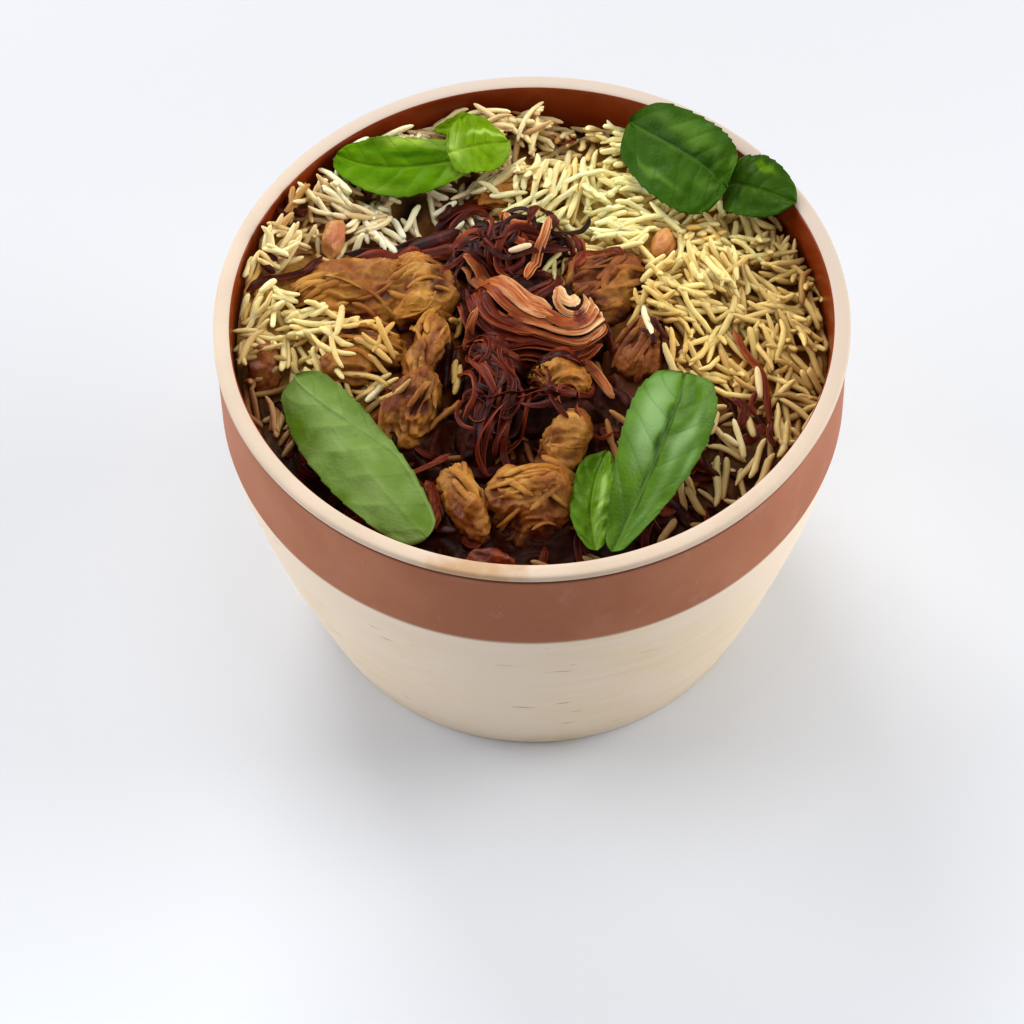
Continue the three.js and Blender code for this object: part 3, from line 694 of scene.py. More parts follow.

# Each leaf: stem end, middle and tip, then its width, tilt, midrib fold, waves and the two numbers of its
# outline as in the solids; its colours are blade, deep, vein and pale. Lights and shades are soft areas of
# painted highlight and painted shade on the leaf, with some of its own paler and deeper patches: how far
# along it (0 at the stem), how far across (-1 to 1), their reach along and across, and their strength, above
# 0 for the pale colour and below 0 for the deep one. The rib is how the midrib leans.
mintLook = {
    "thickness": 0.5, "rows": 140, "columns": 60, "teeth": 11, "toothDepth": 0.034, "veins": 6,
    "quilting": 0.5,
}
mint = {
    "mint_left_large": {
        "shape": ((-14.4, 56.8, 101.6), (-34.6, 52.1, 103.2), (-49.2, 55.1, 105.6),
                  17, -15, 1.4, 0.9, 0.88, 0.5),
        "colours": ((86, 130, 0), (52, 92, 0), (120, 158, 36), (146, 178, 60)), "shine": 0.04,
        "lightsAndShades": [(0.34, -0.88, 0.3, 0.24, 1.0), (0.05, -0.5, 0.1, 0.5, 0.7), (0.08, 0.75, 0.08, 0.5, 0.8),
                   (0.6, 0.85, 0.25, 0.3, 0.35), (0.38, -0.42, 0.24, 0.13, -1.0),
                   (0.3, -0.15, 0.1, 0.1, -0.5)]},
    "mint_left_upper": {
        "shape": ((-24, 65.9, 101.6), (-15, 65.8, 102.6), (-11.2, 65.9, 102.8),
                  8.2, -8, 0.8, 0.5, 0.74, 0.67),
        "colours": ((98, 130, 0), (60, 96, 0), (124, 154, 36), (134, 164, 54)), "shine": 0.03,
        "lightsAndShades": []},
    "mint_left_small": {
        "shape": ((-20.5, 55.2, 105), (-13, 56.4, 106), (-4.8, 58.4, 105), 19, 2, 1.2, 0.6, 0.9, 0.5),
        "colours": ((106, 142, 0), (72, 110, 0), (140, 170, 40), (158, 188, 80)), "shine": 0.06,
        "lightsAndShades": [(0.75, 0.45, 0.35, 0.1, 1.1), (0.12, 0.1, 0.14, 0.6, 0.9), (0.9, -0.5, 0.2, 0.4, 0.3)]},
    "mint_right_large": {
        "shape": ((26.9, 63.6, 105.8), (42.5, 46.2, 108), (50.6, 39.5, 107.4), 24.4, 28, 1.6, 0.9, 0.88, 0.4),
        "colours": ((54, 92, 6), (30, 64, 0), (72, 112, 20), (80, 118, 34)), "shine": 0.07,
        "rib": (0.15, 0.0),
        "lightsAndShades": [(0.35, 0.62, 0.3, 0.22, 0.9), (0.86, 0.75, 0.1, 0.2, 1.3), (0.45, 0.24, 0.4, 0.11, -1.0),
                   (0.3, -0.62, 0.28, 0.08, 0.9), (0.7, -0.25, 0.14, 0.22, 0.6),
                    (0.1, -0.8, 0.12, 0.3, -0.5)]},
    "mint_right_tip": {
        "shape": ((51.7, 44, 102.8), (56.3, 40.9, 106.4), (68.3, 34.2, 107.4), 18.2, 16, 1.2, 0.7, 1, 0.58),
        "colours": ((52, 84, 6), (32, 66, 0), (66, 100, 16), (92, 134, 8)), "shine": 0.07,
        "lightsAndShades": [(0.6, 0.72, 0.14, 0.16, 1.3), (0.15, 0.3, 0.15, 0.3, -0.8), (0.5, -0.1, 0.25, 0.2, 0.25)]},
    "mint_front_left": {
        "shape": ((-27, -58, 93.5), (-44.5, -35.5, 97), (-59.5, -10, 97), 20.5, -8, -1.8, 0.9, 1.1, 0.4),
        "colours": ((118, 145, 74), (80, 112, 18), (130, 155, 88), (138, 163, 94)), "shine": 0.03,
        "rib": (-1.8, 0.92), "under": True,
        "lightsAndShades": [(0.79, 0.8, 0.12, 0.42, -0.95), (0.08, -0.4, 0.13, 0.7, -0.6),
                   (0.38, 0.98, 0.09, 0.3, -0.8), (0.62, 0.1, 0.1, 0.14, 0.7), (0.32, 0.1, 0.1, 0.3, 0.6),
                   (0.88, 0.2, 0.1, 0.5, 0.5), (0.48, -0.35, 0.05, 0.2, 0.6), (0.2, 0.35, 0.05, 0.2, 0.5),
                   (0.75, -0.35, 0.05, 0.25, 0.5), (0.55, 0.5, 0.06, 0.2, -0.4),
                    (0.68, 0.3, 0.03, 0.4, -0.5)]},
    "mint_front_right": {
        "shape": ((18.5, -64.1, 94.2), (31.4, -37, 101.3), (37.8, -14.9, 100), 21.6, 4, 2.4, 0.8, 1.45, 0.45),
        "colours": ((78, 118, 12), (40, 76, 0), (100, 138, 44), (126, 162, 98)), "shine": 0.14,
        "lightsAndShades": [(0.74, 0.5, 0.36, 0.42, 0.8), (0.5, 0.34, 0.22, 0.26, 0.45),
                   (0.64, -0.55, 0.16, 0.16, 0.75), (0.5, -0.36, 0.12, 0.14, 0.6),
                   (0.45, -0.85, 0.1, 0.12, 0.5), (0.86, -0.35, 0.2, 0.3, -0.5),
                   (0.45, 0.02, 0.42, 0.07, -1.7), (0.2, -0.45, 0.2, 0.16, 0.4),
                    (0.15, 0.4, 0.2, 0.4, -0.35)]},
    "mint_front_low": {
        "shape": ((14.8, -62.3, 92.4), (14, -48.3, 95), (18.2, -34.1, 95), 11, -10, 1.4, 0.6, 0.97, 0.6),
        "colours": ((92, 132, 2), (58, 98, 0), (122, 158, 40), (146, 182, 84)), "shine": 0.15,
        "lightsAndShades": [(0.62, -0.5, 0.12, 0.16, 1.2), (0.4, -0.45, 0.1, 0.12, 1.3), (0.2, -0.2, 0.15, 0.3, 0.5)]},
}


def leafMaterial(name, look):
    material, tree, shader = startMaterial(name + "Blade", roughness=0.6 if "under" in look else 0.42,
                                           specular=look["shine"])
    blade, deep, vein, pale = (srgb(*colour) for colour in look["colours"])
    between = tuple(0.55 * b + 0.45 * d for b, d in zip(blade, deep))
    lightAndShade = markOn(tree, "lightAndShade")
    colour = layColours(tree, blade, (patches(tree, 70.0, 0.4, 0.62), between),
                        # pale painted highlights and deep painted shade, with some of the leaf's own paler
                        # and deeper patches
                        (maskBetween(tree, lightAndShade, 0.0, 1.0), pale),
                        (maskBetween(tree, lightAndShade, 0.0, -1.0), deep),
                        # the hollows between the bulges are painted deep, as painted shade
                        (maskBetween(tree, markOn(tree, "hollowShade"), 0.5, 1.6), deep),
                        (maskBetween(tree, markOn(tree, "vein"), 0.25, 1.3), vein))
    net = addNode(tree, "ShaderNodeTexVoronoi", {"Vector": placeOn(tree), "Scale": 700.0},
                  feature="DISTANCE_TO_EDGE")
    dress(tree, shader, colour, grit(tree, 900.0, 0.3, net.outputs["Distance"]))
    return material


# The upper and lower skin as grids of points, and the marks for the material.
def leafPoints(look):
    stem, middle, tip, width, tilt, fold, wave, belly, blunt = look["shape"]
    start, through, finish = (np.array(p, float) for p in (stem, middle, tip))
    bend = 2 * through - 0.5 * start - 0.5 * finish
    rows, columns = mintLook["rows"], mintLook["columns"]
    s = 0.5 - 0.5 * np.cos(math.pi * np.linspace(0, 1, rows + 1)[:, None])
    v = np.linspace(-1, 1, columns + 1)[None, :]
    line = (1 - s) ** 2 * start + 2 * s * (1 - s) * bend + s ** 2 * finish
    tangent = 2 * (1 - s) * (bend - start) + 2 * s * (finish - bend)
    tangent /= np.linalg.norm(tangent, axis=1, keepdims=True)
    level = np.stack([-tangent[:, 1], tangent[:, 0], np.zeros(rows + 1)], -1)
    level /= np.linalg.norm(level, axis=1, keepdims=True)
    lean = math.radians(tilt)
    side = level * math.cos(lean) + np.cross(tangent, level) * math.sin(lean)
    normal = np.cross(tangent, side)
    share = s[:, 0]
    swell = np.sin(math.pi * (0.03 + 0.94 * share) ** belly) ** blunt
    # teeth point towards the tip and differ on the two sides
    uneven = 0.35 * noiseAt(np.stack([s * 40 + 0 * v, np.sign(v) * 30 + 0 * s, width + 0 * s * v], -1), 5, 9)
    teeth = (s * mintLook["teeth"] + 0.37 * np.sign(v) + uneven) % 1
    tooth = (1.2 * teeth ** 1.5 - 0.6) * smoothBetween(0.03, 0.15, s) * np.abs(v) ** 4
    tooth = 1 + mintLook["toothDepth"] * tooth
    # both ends are rounded off over about half their own width
    reach = np.clip(0.36 * width * swell[[0, -1]] / np.linalg.norm(finish - start), 0.015, 0.09)
    fromEnd = np.minimum(np.minimum(share / reach[0], (1 - share) / reach[1]), 1)
    half = np.maximum(0.12, (width / 2) * swell * np.sqrt(1 - (1 - fromEnd) ** 2))[:, None] * tooth
    # side veins leave the midrib and bend towards the tip
    lean, last = look.get("rib", (0, 0))
    ribPlace = np.clip(lean * (last - s), -0.9, 0.9) if last else lean * np.sin(math.pi * s)
    fromRib = (v - ribPlace) / (1 - np.sign(v - ribPlace) * ribPlace)
    phase = (s - 0.2 * np.abs(fromRib) ** 1.3) * mintLook["veins"] + 0.22 * np.sign(fromRib) + 0.25 * uneven
    fromVein = np.abs(phase % 1 - 0.5) * 2
    sideVein = smoothBetween(0.88, 1.0, fromVein) * smoothBetween(0.02, 0.15, s)
    sideVein = sideVein * (1 - 0.75 * np.abs(fromRib))
    midrib = np.exp(-((v - ribPlace) * half / (0.62 - 0.36 * s)) ** 2)
    bulge = (1 - fromVein ** 2.5) * (1 - v ** 4) * (1 - midrib)
    # fold, waves, quilting between the veins and crumples lift the blade off its middle surface
    flip = -1 if "under" in look else 1
    spread = np.stack([s * 50 + 0 * v, v * 12 + 0 * s, width + 0 * s * v], -1)
    crumple = 0.6 * noiseAt(spread, 10, 3) + 0.5 * noiseAt(spread, 4.0, 4)
    lift = fold * np.abs(v) * swell[:, None] + wave * v ** 2 * np.sin(9 * s + 2 * v + width)
    lift = lift + flip * mintLook["quilting"] * swell[:, None] * (bulge - 0.4) * (0.7 + crumple)
    lift = lift - flip * 0.25 * midrib
    lift = lift + 1.1 * crumple * (0.3 + 0.7 * np.abs(v)) * smoothBetween(0, 0.1, s)
    thickness = mintLook["thickness"] * (0.35 + 0.65 * np.minimum(1, (1 - np.abs(v)) * 6)) / 2
    surface = line[:, None] + side[:, None] * (v * half)[..., None] + normal[:, None] * lift[..., None]
    skin = normal[:, None] * np.broadcast_to(thickness, lift.shape)[..., None]
    # painted highlights and painted shade laid over the leaf, with some of its own paler and deeper patches
    soft = 0.25 * noiseAt(spread, 5, 6)
    alongLeaf, acrossLeaf = s + 0.1 * soft, v + 0.4 * soft
    lightAndShade = sum(strength * np.exp(-((alongLeaf - atS) / reachS) ** 2 - ((acrossLeaf - atV) / reachV) ** 2)
               for atS, atV, reachS, reachV, strength in look["lightsAndShades"]) + 0 * lift
    marks = {"vein": np.clip(np.maximum(sideVein * 0.6, midrib), 0, 1),
             # the hollows between the bulges are marked for painted shade
             "hollowShade": np.clip(1 - bulge * 1.4, 0, 1), "lightAndShade": np.clip(lightAndShade, -1, 1)}
    return surface + skin, surface - skin, marks


def makeLeaf(node, look):
    upper, lower, marks = leafPoints(look)
    rows, columns = upper.shape[:2]
    count = rows * columns
    index = np.arange(count).reshape(rows, columns)
    border = np.concatenate([index[:-1, 0], index[-1, :-1], index[:0:-1, -1], index[0, :0:-1]])
    after = np.roll(border, -1)
    quads = [gridQuads(rows, columns)[:, ::-1], gridQuads(rows, columns, start=count),
             np.stack([border, after, after + count, border + count], -1)[:, ::-1]]
    points = np.concatenate([upper.reshape(-1, 3), lower.reshape(-1, 3)])
    marks = {key: np.tile(values.ravel(), 2) for key, values in marks.items()}
    piece = newPiece(node + "Leaf", points, np.concatenate(quads),
                     materials=[leafMaterial(node, look)], marks=marks)
    belongs(piece, "mint", node)
    return points


leafClouds = [makeLeaf(node, look) for node, look in mint.items()]
print("mint leaves are laid")

# Tones run from 0, almost black, to 1, pale tan.
onionLook = {"thickness": 0.34, "step": 1.1, "sections": 5}


def onionFlesh():
    material, tree, shader = startMaterial("friedOnion", roughness=0.42, specular=0.13,
                                           innerLight=(0.12, (1.0, 0.35, 0.1), 0.0012))
    tone, across, along = (markOn(tree, name) for name in ("tone", "across", "along"))
    grain = addNode(tree, "ShaderNodeCombineXYZ", {"X": across, "Y": along}).outputs["Vector"]
    streak = noiseOn(tree, grain, 1.0, 3.0)
    toned = calculate(tree, "ADD", tone, calculate(tree, "MULTIPLY_ADD", streak, 0.7, -0.42))
    colours = [(32, 7, 4), (62, 14, 6), (112, 36, 13), (160, 80, 38), (206, 142, 92), (240, 200, 150)]
    colour = rampOf(tree, toned, [(k / 5, srgb(*each)) for k, each in enumerate(colours)])
    colour = mixColours(tree, patches(tree, 120.0, 0.6, 0.72), colour, srgb(104, 40, 34))
    dress(tree, shader, colour, grit(tree, 1600.0, 0.2, streak))
    return material


def onionDark():
    material, tree, shader = startMaterial("onionInShade", roughness=0.6, specular=0.1)
    colour = mixColours(tree, patches(tree, 260.0, 0.4, 0.65), srgb(28, 7, 2), srgb(60, 20, 8))
    dress(tree, shader, colour, grit(tree, 800.0, 0.4))
    return material


def smoothPath(route, count):
    points = np.array(route, float)
    ends = [2 * points[0] - points[1], *points, 2 * points[-1] - points[-2]]
    out = []
    for value in np.linspace(0, len(points) - 1 - 1e-9, count):
        k, u = int(value), value % 1
        a, b, c, d = ends[k:k + 4]
        out.append(0.5 * (2 * b + (c - a) * u + (2 * a - 5 * b + 4 * c - d) * u * u
                          + (3 * b - a - 3 * c + d) * u ** 3))
    return np.array(out)


# A ribbon of onion along a path: curled across, thin at the edges and narrow at both ends. Gives its points
# and how far across and along it each of them lies.
def ribbon(path, width, thickness, curl, roll):
    tangent = np.gradient(path, axis=0)
    tangent /= np.linalg.norm(tangent, axis=1, keepdims=True) + 1e-9
    side = np.cross([0, 0, 1], tangent)
    side /= np.linalg.norm(side, axis=1, keepdims=True) + 1e-9
    up = np.cross(tangent, side)
    cos, sin = np.cos(roll)[:, None], np.sin(roll)[:, None]
    side, up = side * cos + up * sin, up * cos - side * sin
    share = np.linspace(0, 1, len(path))
    taper = np.minimum(1, np.minimum(share, 1 - share) * 6 + 0.2)
    w = np.linspace(-1, 1, onionLook["sections"])
    flat = (1 - 0.7 * w ** 2) * thickness / width
    arch = curl * (1 - w ** 2)
    ring = np.concatenate([np.stack([w, arch + flat], -1), np.stack([w[::-1], (arch - flat)[::-1]], -1)])
    scale = (width / 2 * taper)[:, None, None]
    points = path[:, None] + scale * (side[:, None] * ring[None, :, :1] + up[:, None] * ring[None, :, 1:])
    across = np.broadcast_to(np.concatenate([w, w[::-1]]), points.shape[:2])
    return points, across, np.broadcast_to(share[:, None], points.shape[:2])


# One piece of many ribbons, each closed at both ends; gives its points.
def joinRibbons(name, ribbons, material, slotName, node):
    points, quads, marks, start = [], [], {"tone": [], "across": [], "along": []}, 0
    for index, (ring, across, along, tone) in enumerate(ribbons):
        rows, columns = ring.shape[:2]
        points.append(ring.reshape(-1, 3))
        quads.append(gridQuads(rows, columns, wrap=True, start=start))
        k = np.arange(columns // 2 - 1)
        first = np.stack([k, columns - 1 - k, columns - 2 - k, k + 1], -1) + start
        quads += [first, first[:, ::-1] + (rows - 1) * columns]
        # ribbons are painted lighter towards both edges, as a painted highlight and painted light through the
        # thin edges
        marks["tone"].append((tone[:, None] + 0.2 * np.abs(across) ** 3 - 0.05).ravel())
        marks["across"].append((across * 2.2 + 7.3 * index).ravel())
        marks["along"].append((along * rows * onionLook["step"] * 0.16).ravel())
        start += rows * columns
    marks = {key: np.concatenate(values) for key, values in marks.items()}
    cloud = np.concatenate(points)
    piece = newPiece(name, cloud, np.concatenate(quads)[:, ::-1], materials=[material], marks=marks)
    belongs(piece, slotName, node)
    return cloud


# Each bundle: how many strands, how far they spread sideways, widths, tones at both ends, how high they
# lie on the pile, how loose they are and the route x, y, lift.
onionBundles = [
    (3, 1.2, (3.2, 4.6), (0.66, 0.74), (1.8, 2.8), 0.25,
     [(-17.5, 22.3), (-13, 19.5), (-7, 11), (-2, 5.3), (2.2, 1.8), (6.5, 0.1)]),
    (3, 1.1, (2.4, 3.6), (0.54, 0.66), (1.2, 2.2), 0.3,
     [(-16, 20.6), (-12, 17), (-7, 6.8), (-1.6, 2.2), (3.3, -0.7), (8, -1.5)]),
    (2, 0.5, (2.4, 3.2), (0.9, 1.0), (2.0, 2.6), 0.2, [(6.8, 9), (7.6, 5.4), (10.5, 4.4), (11.6, 7.2)]),
    (3, 0.4, (1.2, 2.0), (0.8, 1.0), (2.4, 3.2), 0.2,
     [(6.6, 8), (6.3, 3.7), (8.5, 0.9), (12.2, 1.4), (14, 5.5), (13.2, 8.1)]),
    (3, 0.6, (1.4, 2.4), (0.6, 0.95), (2.0, 2.8), 0.25,
     [(-2, 3.5), (4.4, -0.2), (8.8, -2), (13.5, -0.6), (16, 4.7), (15.5, 9)]),
    (3, 0.6, (1.4, 2.4), (0.5, 0.88), (1.6, 2.4), 0.25,
     [(-6, 1.5), (0.5, -1.2), (7.6, -3.7), (13.4, -2.9), (17.1, 2), (17.5, 7.5)]),
    (4, 0.7, (1.6, 2.8), (0.4, 0.84), (1.0, 2.0), 0.3,
     [(-10, 1.5), (-3.4, -1.9), (5.4, -4.8), (12.5, -5.3), (17.3, -1.6), (18.7, 5)]),
    (4, 0.9, (2.0, 3.4), (0.3, 0.5), (0.8, 1.6), 0.4,
     [(-12.8, -0.3), (-9, -5.6), (-1.8, -6.4), (6.4, -7), (13.1, -6.2), (17.5, -3.4)]),
    (4, 1.4, (1.6, 3.0), (0.4, 0.46), (0.8, 1.8), 0.4,
     [(-15.5, 20), (-14.3, 15), (-12.9, 5.3), (-8.9, 0), (-1.8, -3.2), (5.4, -4.1)]),
    (4, 1.6, (1.6, 3.0), (0.3, 0.4), (0.4, 1.4), 0.5,
     [(-16.5, 19), (-16, 12), (-14.7, 3.9), (-11.1, -2), (-3.5, -5.6), (5.3, -6.4)]),
    (3, 1.2, (1.2, 2.4), (0.46, 0.56), (1.0, 2.0), 0.4, [(-12.1, 13), (-10.5, 3.9), (-5.6, -0.2), (1, -2.2)]),
    (4, 1.6, (1.4, 2.6), (0.22, 0.36), (0.2, 1.2), 0.6, [(-8, 9), (-4, 6.5), (0, 7), (5, 10), (6, 15)]),
    (2, 0.4, (1.8, 2.6), (0.76, 0.6), (2.2, 3.0), 0.4,
     [(-13.3, 4.5), (-15, 1.8), (-15.9, -0.6), (-16.8, -4)]),
    (6, 1.8, (2.0, 4.0), (0.12, 0.28), (0.0, 1.4), 0.7,
     [(-18, -3), (-10, -9), (0, -9.5), (10, -9.5), (17, -7)]),
    (2, 0.8, (1.2, 1.8), (0.48, 0.42), (1.6, 2.4), 0.8,
     [(-16.2, -6.9), (-13, -14), (-9.8, -21.2), (-9.3, -25)]),
    (2, 0.8, (1.2, 2.0), (0.2, 0.16), (1.0, 1.8), 0.8, [(-19.6, -1.2), (-21.3, -8), (-22.5, -19)]),
    (2, 0.6, (2.0, 2.8), (0.62, 0.76), (0.8, 1.6), 0.5,
     [(12.5, -6.9), (15.5, -10), (18.9, -15.7), (21, -21)]),
    (2, 0.7, (1.6, 2.6), (0.5, 0.4), (0.8, 1.6), 0.6, [(18.4, 7), (19.5, 2), (21, -4), (21.5, -10)]),
    (2, 0.6, (1.6, 2.3), (0.78, 0.68), (2.4, 3.4), 0.3,
     [(5.4, 33, 1.6), (3.9, 27, 0.6), (2.1, 22.4), (-0.3, 14.5), (-1.5, 9.5)]),
    (2, 0.4, (1.6, 2.4), (0.32, 0.24), (1.4, 2.0), 0.3,
     [(-1, 30, 0.8), (1, 35, 2), (3.6, 38.5, 2.8), (6, 37.5, 2.8), (7, 32, 1.8), (6.4, 27, 1)]),
    (2, 0.5, (1.4, 2.2), (0.66, 0.56), (1.2, 2.0), 0.4,
     [(-6.5, 39, 1), (-6.2, 34), (-3.9, 30.5), (0, 30.2), (3.5, 31.8)]),
    (6, 3.0, (2.4, 4.4), (0.1, 0.24), (0.0, 1.6), 0.7, [(-19, 32), (-14, 29.6), (-9.6, 26), (-5, 22)]),
    (5, 2.4, (2.0, 4.0), (0.12, 0.26), (0.0, 2.0), 0.7, [(-12, 38), (-11.5, 31), (-9, 25), (-7, 20)]),
    (5, 3.4, (1.6, 3.4), (0.14, 0.34), (0.0, 2.0), 0.9, [(-14, 27), (-6, 24), (2, 22), (11, 26)]),
    (3, 1.6, (1.2, 2.4), (0.4, 0.3), (0.6, 2.0), 0.9, [(6, 37), (10, 31), (12, 25), (9, 17)]),
    (3, 0.9, (3.2, 4.8), (0.34, 0.42), (0.6, 1.6), 0.4,
     [(-47, 25, 0.6), (-36, 26.5, 0.6), (-26, 29, 0.8), (-15, 30), (-7, 27)]),
    (5, 1.4, (2.2, 3.6), (0.14, 0.3), (1.0, 2.6), 0.5,
     [(-48, 27), (-41, 27.9), (-35, 29), (-30, 31.1), (-25, 33.6), (-18, 37)]),
    (3, 0.6, (3.0, 4.4), (0.34, 0.42), (2.4, 3.2), 0.3, [(-33, 29), (-27, 32), (-22, 33.8), (-17, 36)]),
    (4, 1.6, (2.0, 3.4), (0.12, 0.26), (1.0, 2.6), 0.6, [(-24, 34.5), (-19, 41), (-14, 43.5), (-9, 42)]),
    (5, 2.4, (1.4, 2.8), (0.12, 0.28), (0.0, 2.0), 1.0,
     [(-18, -17), (-11.4, -22.8), (-3.8, -20.4), (5, -21), (15, -21)]),
    (3, 1.0, (1.2, 2.2), (0.42, 0.3), (0.6, 1.8), 0.9,
     [(-1.9, -8.7), (-0.4, -13.4), (2.9, -17.1), (8, -18.5)]),
    (5, 2.4, (1.0, 2.0), (0.46, 0.36), (0.6, 2.6), 1.0,
     [(-12, 3), (-15, -8), (-11, -16), (-12, -25), (-15, -33)]),
    (8, 3.4, (1.0, 2.2), (0.3, 0.18), (0.0, 2.2), 1.0,
     [(-10, 0), (-11, -10), (-8, -18), (-10, -27), (-13, -37)]),
    (6, 3.0, (1.0, 2.0), (0.38, 0.26), (0.3, 2.4), 1.0, [(-4, -20), (-9, -29), (-11, -36), (-8, -42)]),
]
# Loose curls that lie every way over the pile: how many, their radii, arcs, tones and where they may lie.
onionCurls = {"count": 52, "radius": (2.8, 7.5), "arc": (1.6, 4.0), "width": (0.9, 2.2), "tone": (0.06, 0.44),
              "areas": [(-6, 28, 12, 7), (-4, 28, 13, 8), (-11, -20, 7, 15), (4, -23, 12, 5)]}
# Each loose strip: its width, its tones at both ends and its route.
looseOnions = {
    "onion_strand_left": (2.6, (0.3, 0.24), [(-72, 14), (-68, 17), (-62.5, 19), (-57, 22), (-53, 27)]),
    "onion_strand_right": (2.0, (0.62, 0.42), [(51, 2), (54, -5), (58, -12), (59, -26)]),
    "onion_curl_right": (2.6, (0.34, 0.4), [(50, -18), (53, -22, 1), (51, -27)]),
    "onion_thread_left": (2.0, (0.44, 0.5), [(-43, -36), (-34, -38), (-26, -36), (-21, -33.5)]),
    "onion_strip_front": (3.0, (0.46, 0.56), [(-27, -40), (-25, -45), (-25, -53)]),
    "onion_ring_right": (3.2, (0.5, 0.4), [(12, 19), (14, 24), (19, 26), (24, 22)]),
}


def withLift(route):
    return np.array([(*stop, 0.0)[:3] for stop in route], float)


# Evens out a row of heights, so that what lies on them bends softly.
def softened(heights):
    return np.convolve(np.pad(heights, 2, mode="edge"), np.ones(5) / 5, "valid")


def laidOn(flat, forms, seat):
    flat = flat.copy()
    flat[:, 2] += softened(pileTop(flat[:, 0], flat[:, 1], forms)) + seat
    return flat


def laidPath(route, forms, seat, count):
    return laidOn(smoothPath(withLift(route), count), forms, seat)


def makeTangle(material):
    rng, ribbons, forms, step = np.random.default_rng(11), [], tangleForms + solidForms, onionLook["step"]

    def addRibbon(path, width, tones, toneSpread, loose):
        count = len(path)
        steps, each = np.arange(count) * step, np.full(count, 9.0 * len(ribbons))
        wander = [noiseAt(np.stack([steps, each, np.full(count, 50.0 * k)], -1), 6, k) for k in (1, 2, 3)]
        path = path + loose * np.stack([0.7 * wander[0], 0.7 * wander[1], 0.5 * wander[2]], -1)
        roll = loose * (rng.normal(0, 0.5) + 1.1 * wander[0]) + 0.2 * wander[1]
        ring, across, along = ribbon(path, width, onionLook["thickness"], rng.uniform(-0.3, 0.5), roll)
        ribbons.append((ring, across, along, np.linspace(*tones, count) + rng.normal(0, toneSpread)))

    for number, spread, widths, tones, high, loose, stops in onionBundles:
        route = withLift(stops)
        length = np.linalg.norm(np.diff(route[:, :2], axis=0), axis=1).sum()
        direction = np.gradient(route[:, :2], axis=0)
        direction /= np.linalg.norm(direction, axis=1, keepdims=True)
        for each in range(number):
            moved = route.copy()
            place = (each + 0.5) / number * 2 - 1 + rng.normal(0, 0.35)
            moved[:, :2] += np.stack([-direction[:, 1], direction[:, 0]], -1) * place * spread
            moved[:, :2] += rng.normal(0, 0.3 * spread * loose, moved[:, :2].shape)
            first, last = rng.uniform(0, 0.4 * loose), 1 - rng.uniform(0, 0.35 * loose)
            count = max(10, int(length * (last - first) / step))
            whole = laidPath(moved, forms, rng.uniform(*high), 4 * count)
            pick = np.linspace(first * (len(whole) - 1), last * (len(whole) - 1), count).astype(int)
            addRibbon(whole[pick], rng.uniform(*widths), tones, 0.08, loose)
    for _ in range(onionCurls["count"]):
        x, y, reachX, reachY = onionCurls["areas"][rng.integers(0, 4)]
        radius, arc = rng.uniform(*onionCurls["radius"]), rng.uniform(*onionCurls["arc"])
        first = rng.uniform(0, 6.3)
        x, y = x + reachX * rng.uniform(-0.8, 0.8), y + reachY * rng.uniform(-0.8, 0.8)
        count = max(10, int(radius * arc / step))
        angle = first + np.linspace(0, arc, count)
        squash, heading = rng.uniform(0.45, 1.0), rng.uniform(0, 6.3)
        ex, ey = radius * (np.cos(angle) - np.cos(first)), radius * squash * (np.sin(angle) - np.sin(first))
        flat = np.stack([x + ex * math.cos(heading) - ey * math.sin(heading),
                         y + ex * math.sin(heading) + ey * math.cos(heading), np.zeros(count)], -1)
        flat[:, 2] = rng.uniform(0.2, 1.6) * np.sin(np.linspace(0, math.pi, count)) * rng.uniform(0, 1.6)
        tone = rng.uniform(*onionCurls["tone"])
        addRibbon(laidOn(flat, forms, rng.uniform(0.2, 1.8)), rng.uniform(*onionCurls["width"]),
                  (tone, tone + rng.normal(0, 0.12)), 0.0, 1.0)
    print("onion ribbons", len(ribbons))
    return joinRibbons("friedOnionStrands", ribbons, material, "fried_onion", "fried_onion_tangle")


def makeHeart():
    place, normal, quads = joinedMounds("onionHeart", tangleMounds, 0.6, grow=-0.8)
    folds = 1 - 2 * np.abs(layeredNoise(place * (1, 1, 0.6), 4, 77, 2))
    place += normal * (1.2 * folds - 0.9)[:, None]
    piece = newPiece("friedOnionHeart", place, quads, materials=[onionDark()])
    belongs(piece, "fried_onion", "fried_onion_tangle")


def makeLooseOnion(index, node, width, tones, route, material):
    path = laidPath(route, solidForms, 1.5, 40)
    roll = 0.5 * noiseAt(path, 9, 60 + index)
    path[:, 2] += 0.3 * noiseAt(path, 5, 80 + index)
    strip = (*ribbon(path, width, 0.6, 0.3, roll), np.linspace(*tones, len(path)))
    return joinRibbons(node + "Shred", [strip], material, "fried_onion", node)


onionMaterial = onionFlesh()
makeHeart()
onionClouds = [makeTangle(onionMaterial)]
for index, (node, settings) in enumerate(looseOnions.items()):
    onionClouds.append(makeLooseOnion(index, node, *settings, onionMaterial))
print("onions are fried")

# Torn fibres that lie along the chicken: how many a square centimetre, then their length, width and lift.
tornLook = {"density": 5.5, "length": (5.0, 13.0), "width": (0.9, 2.4), "lift": (-0.4, 0.4)}


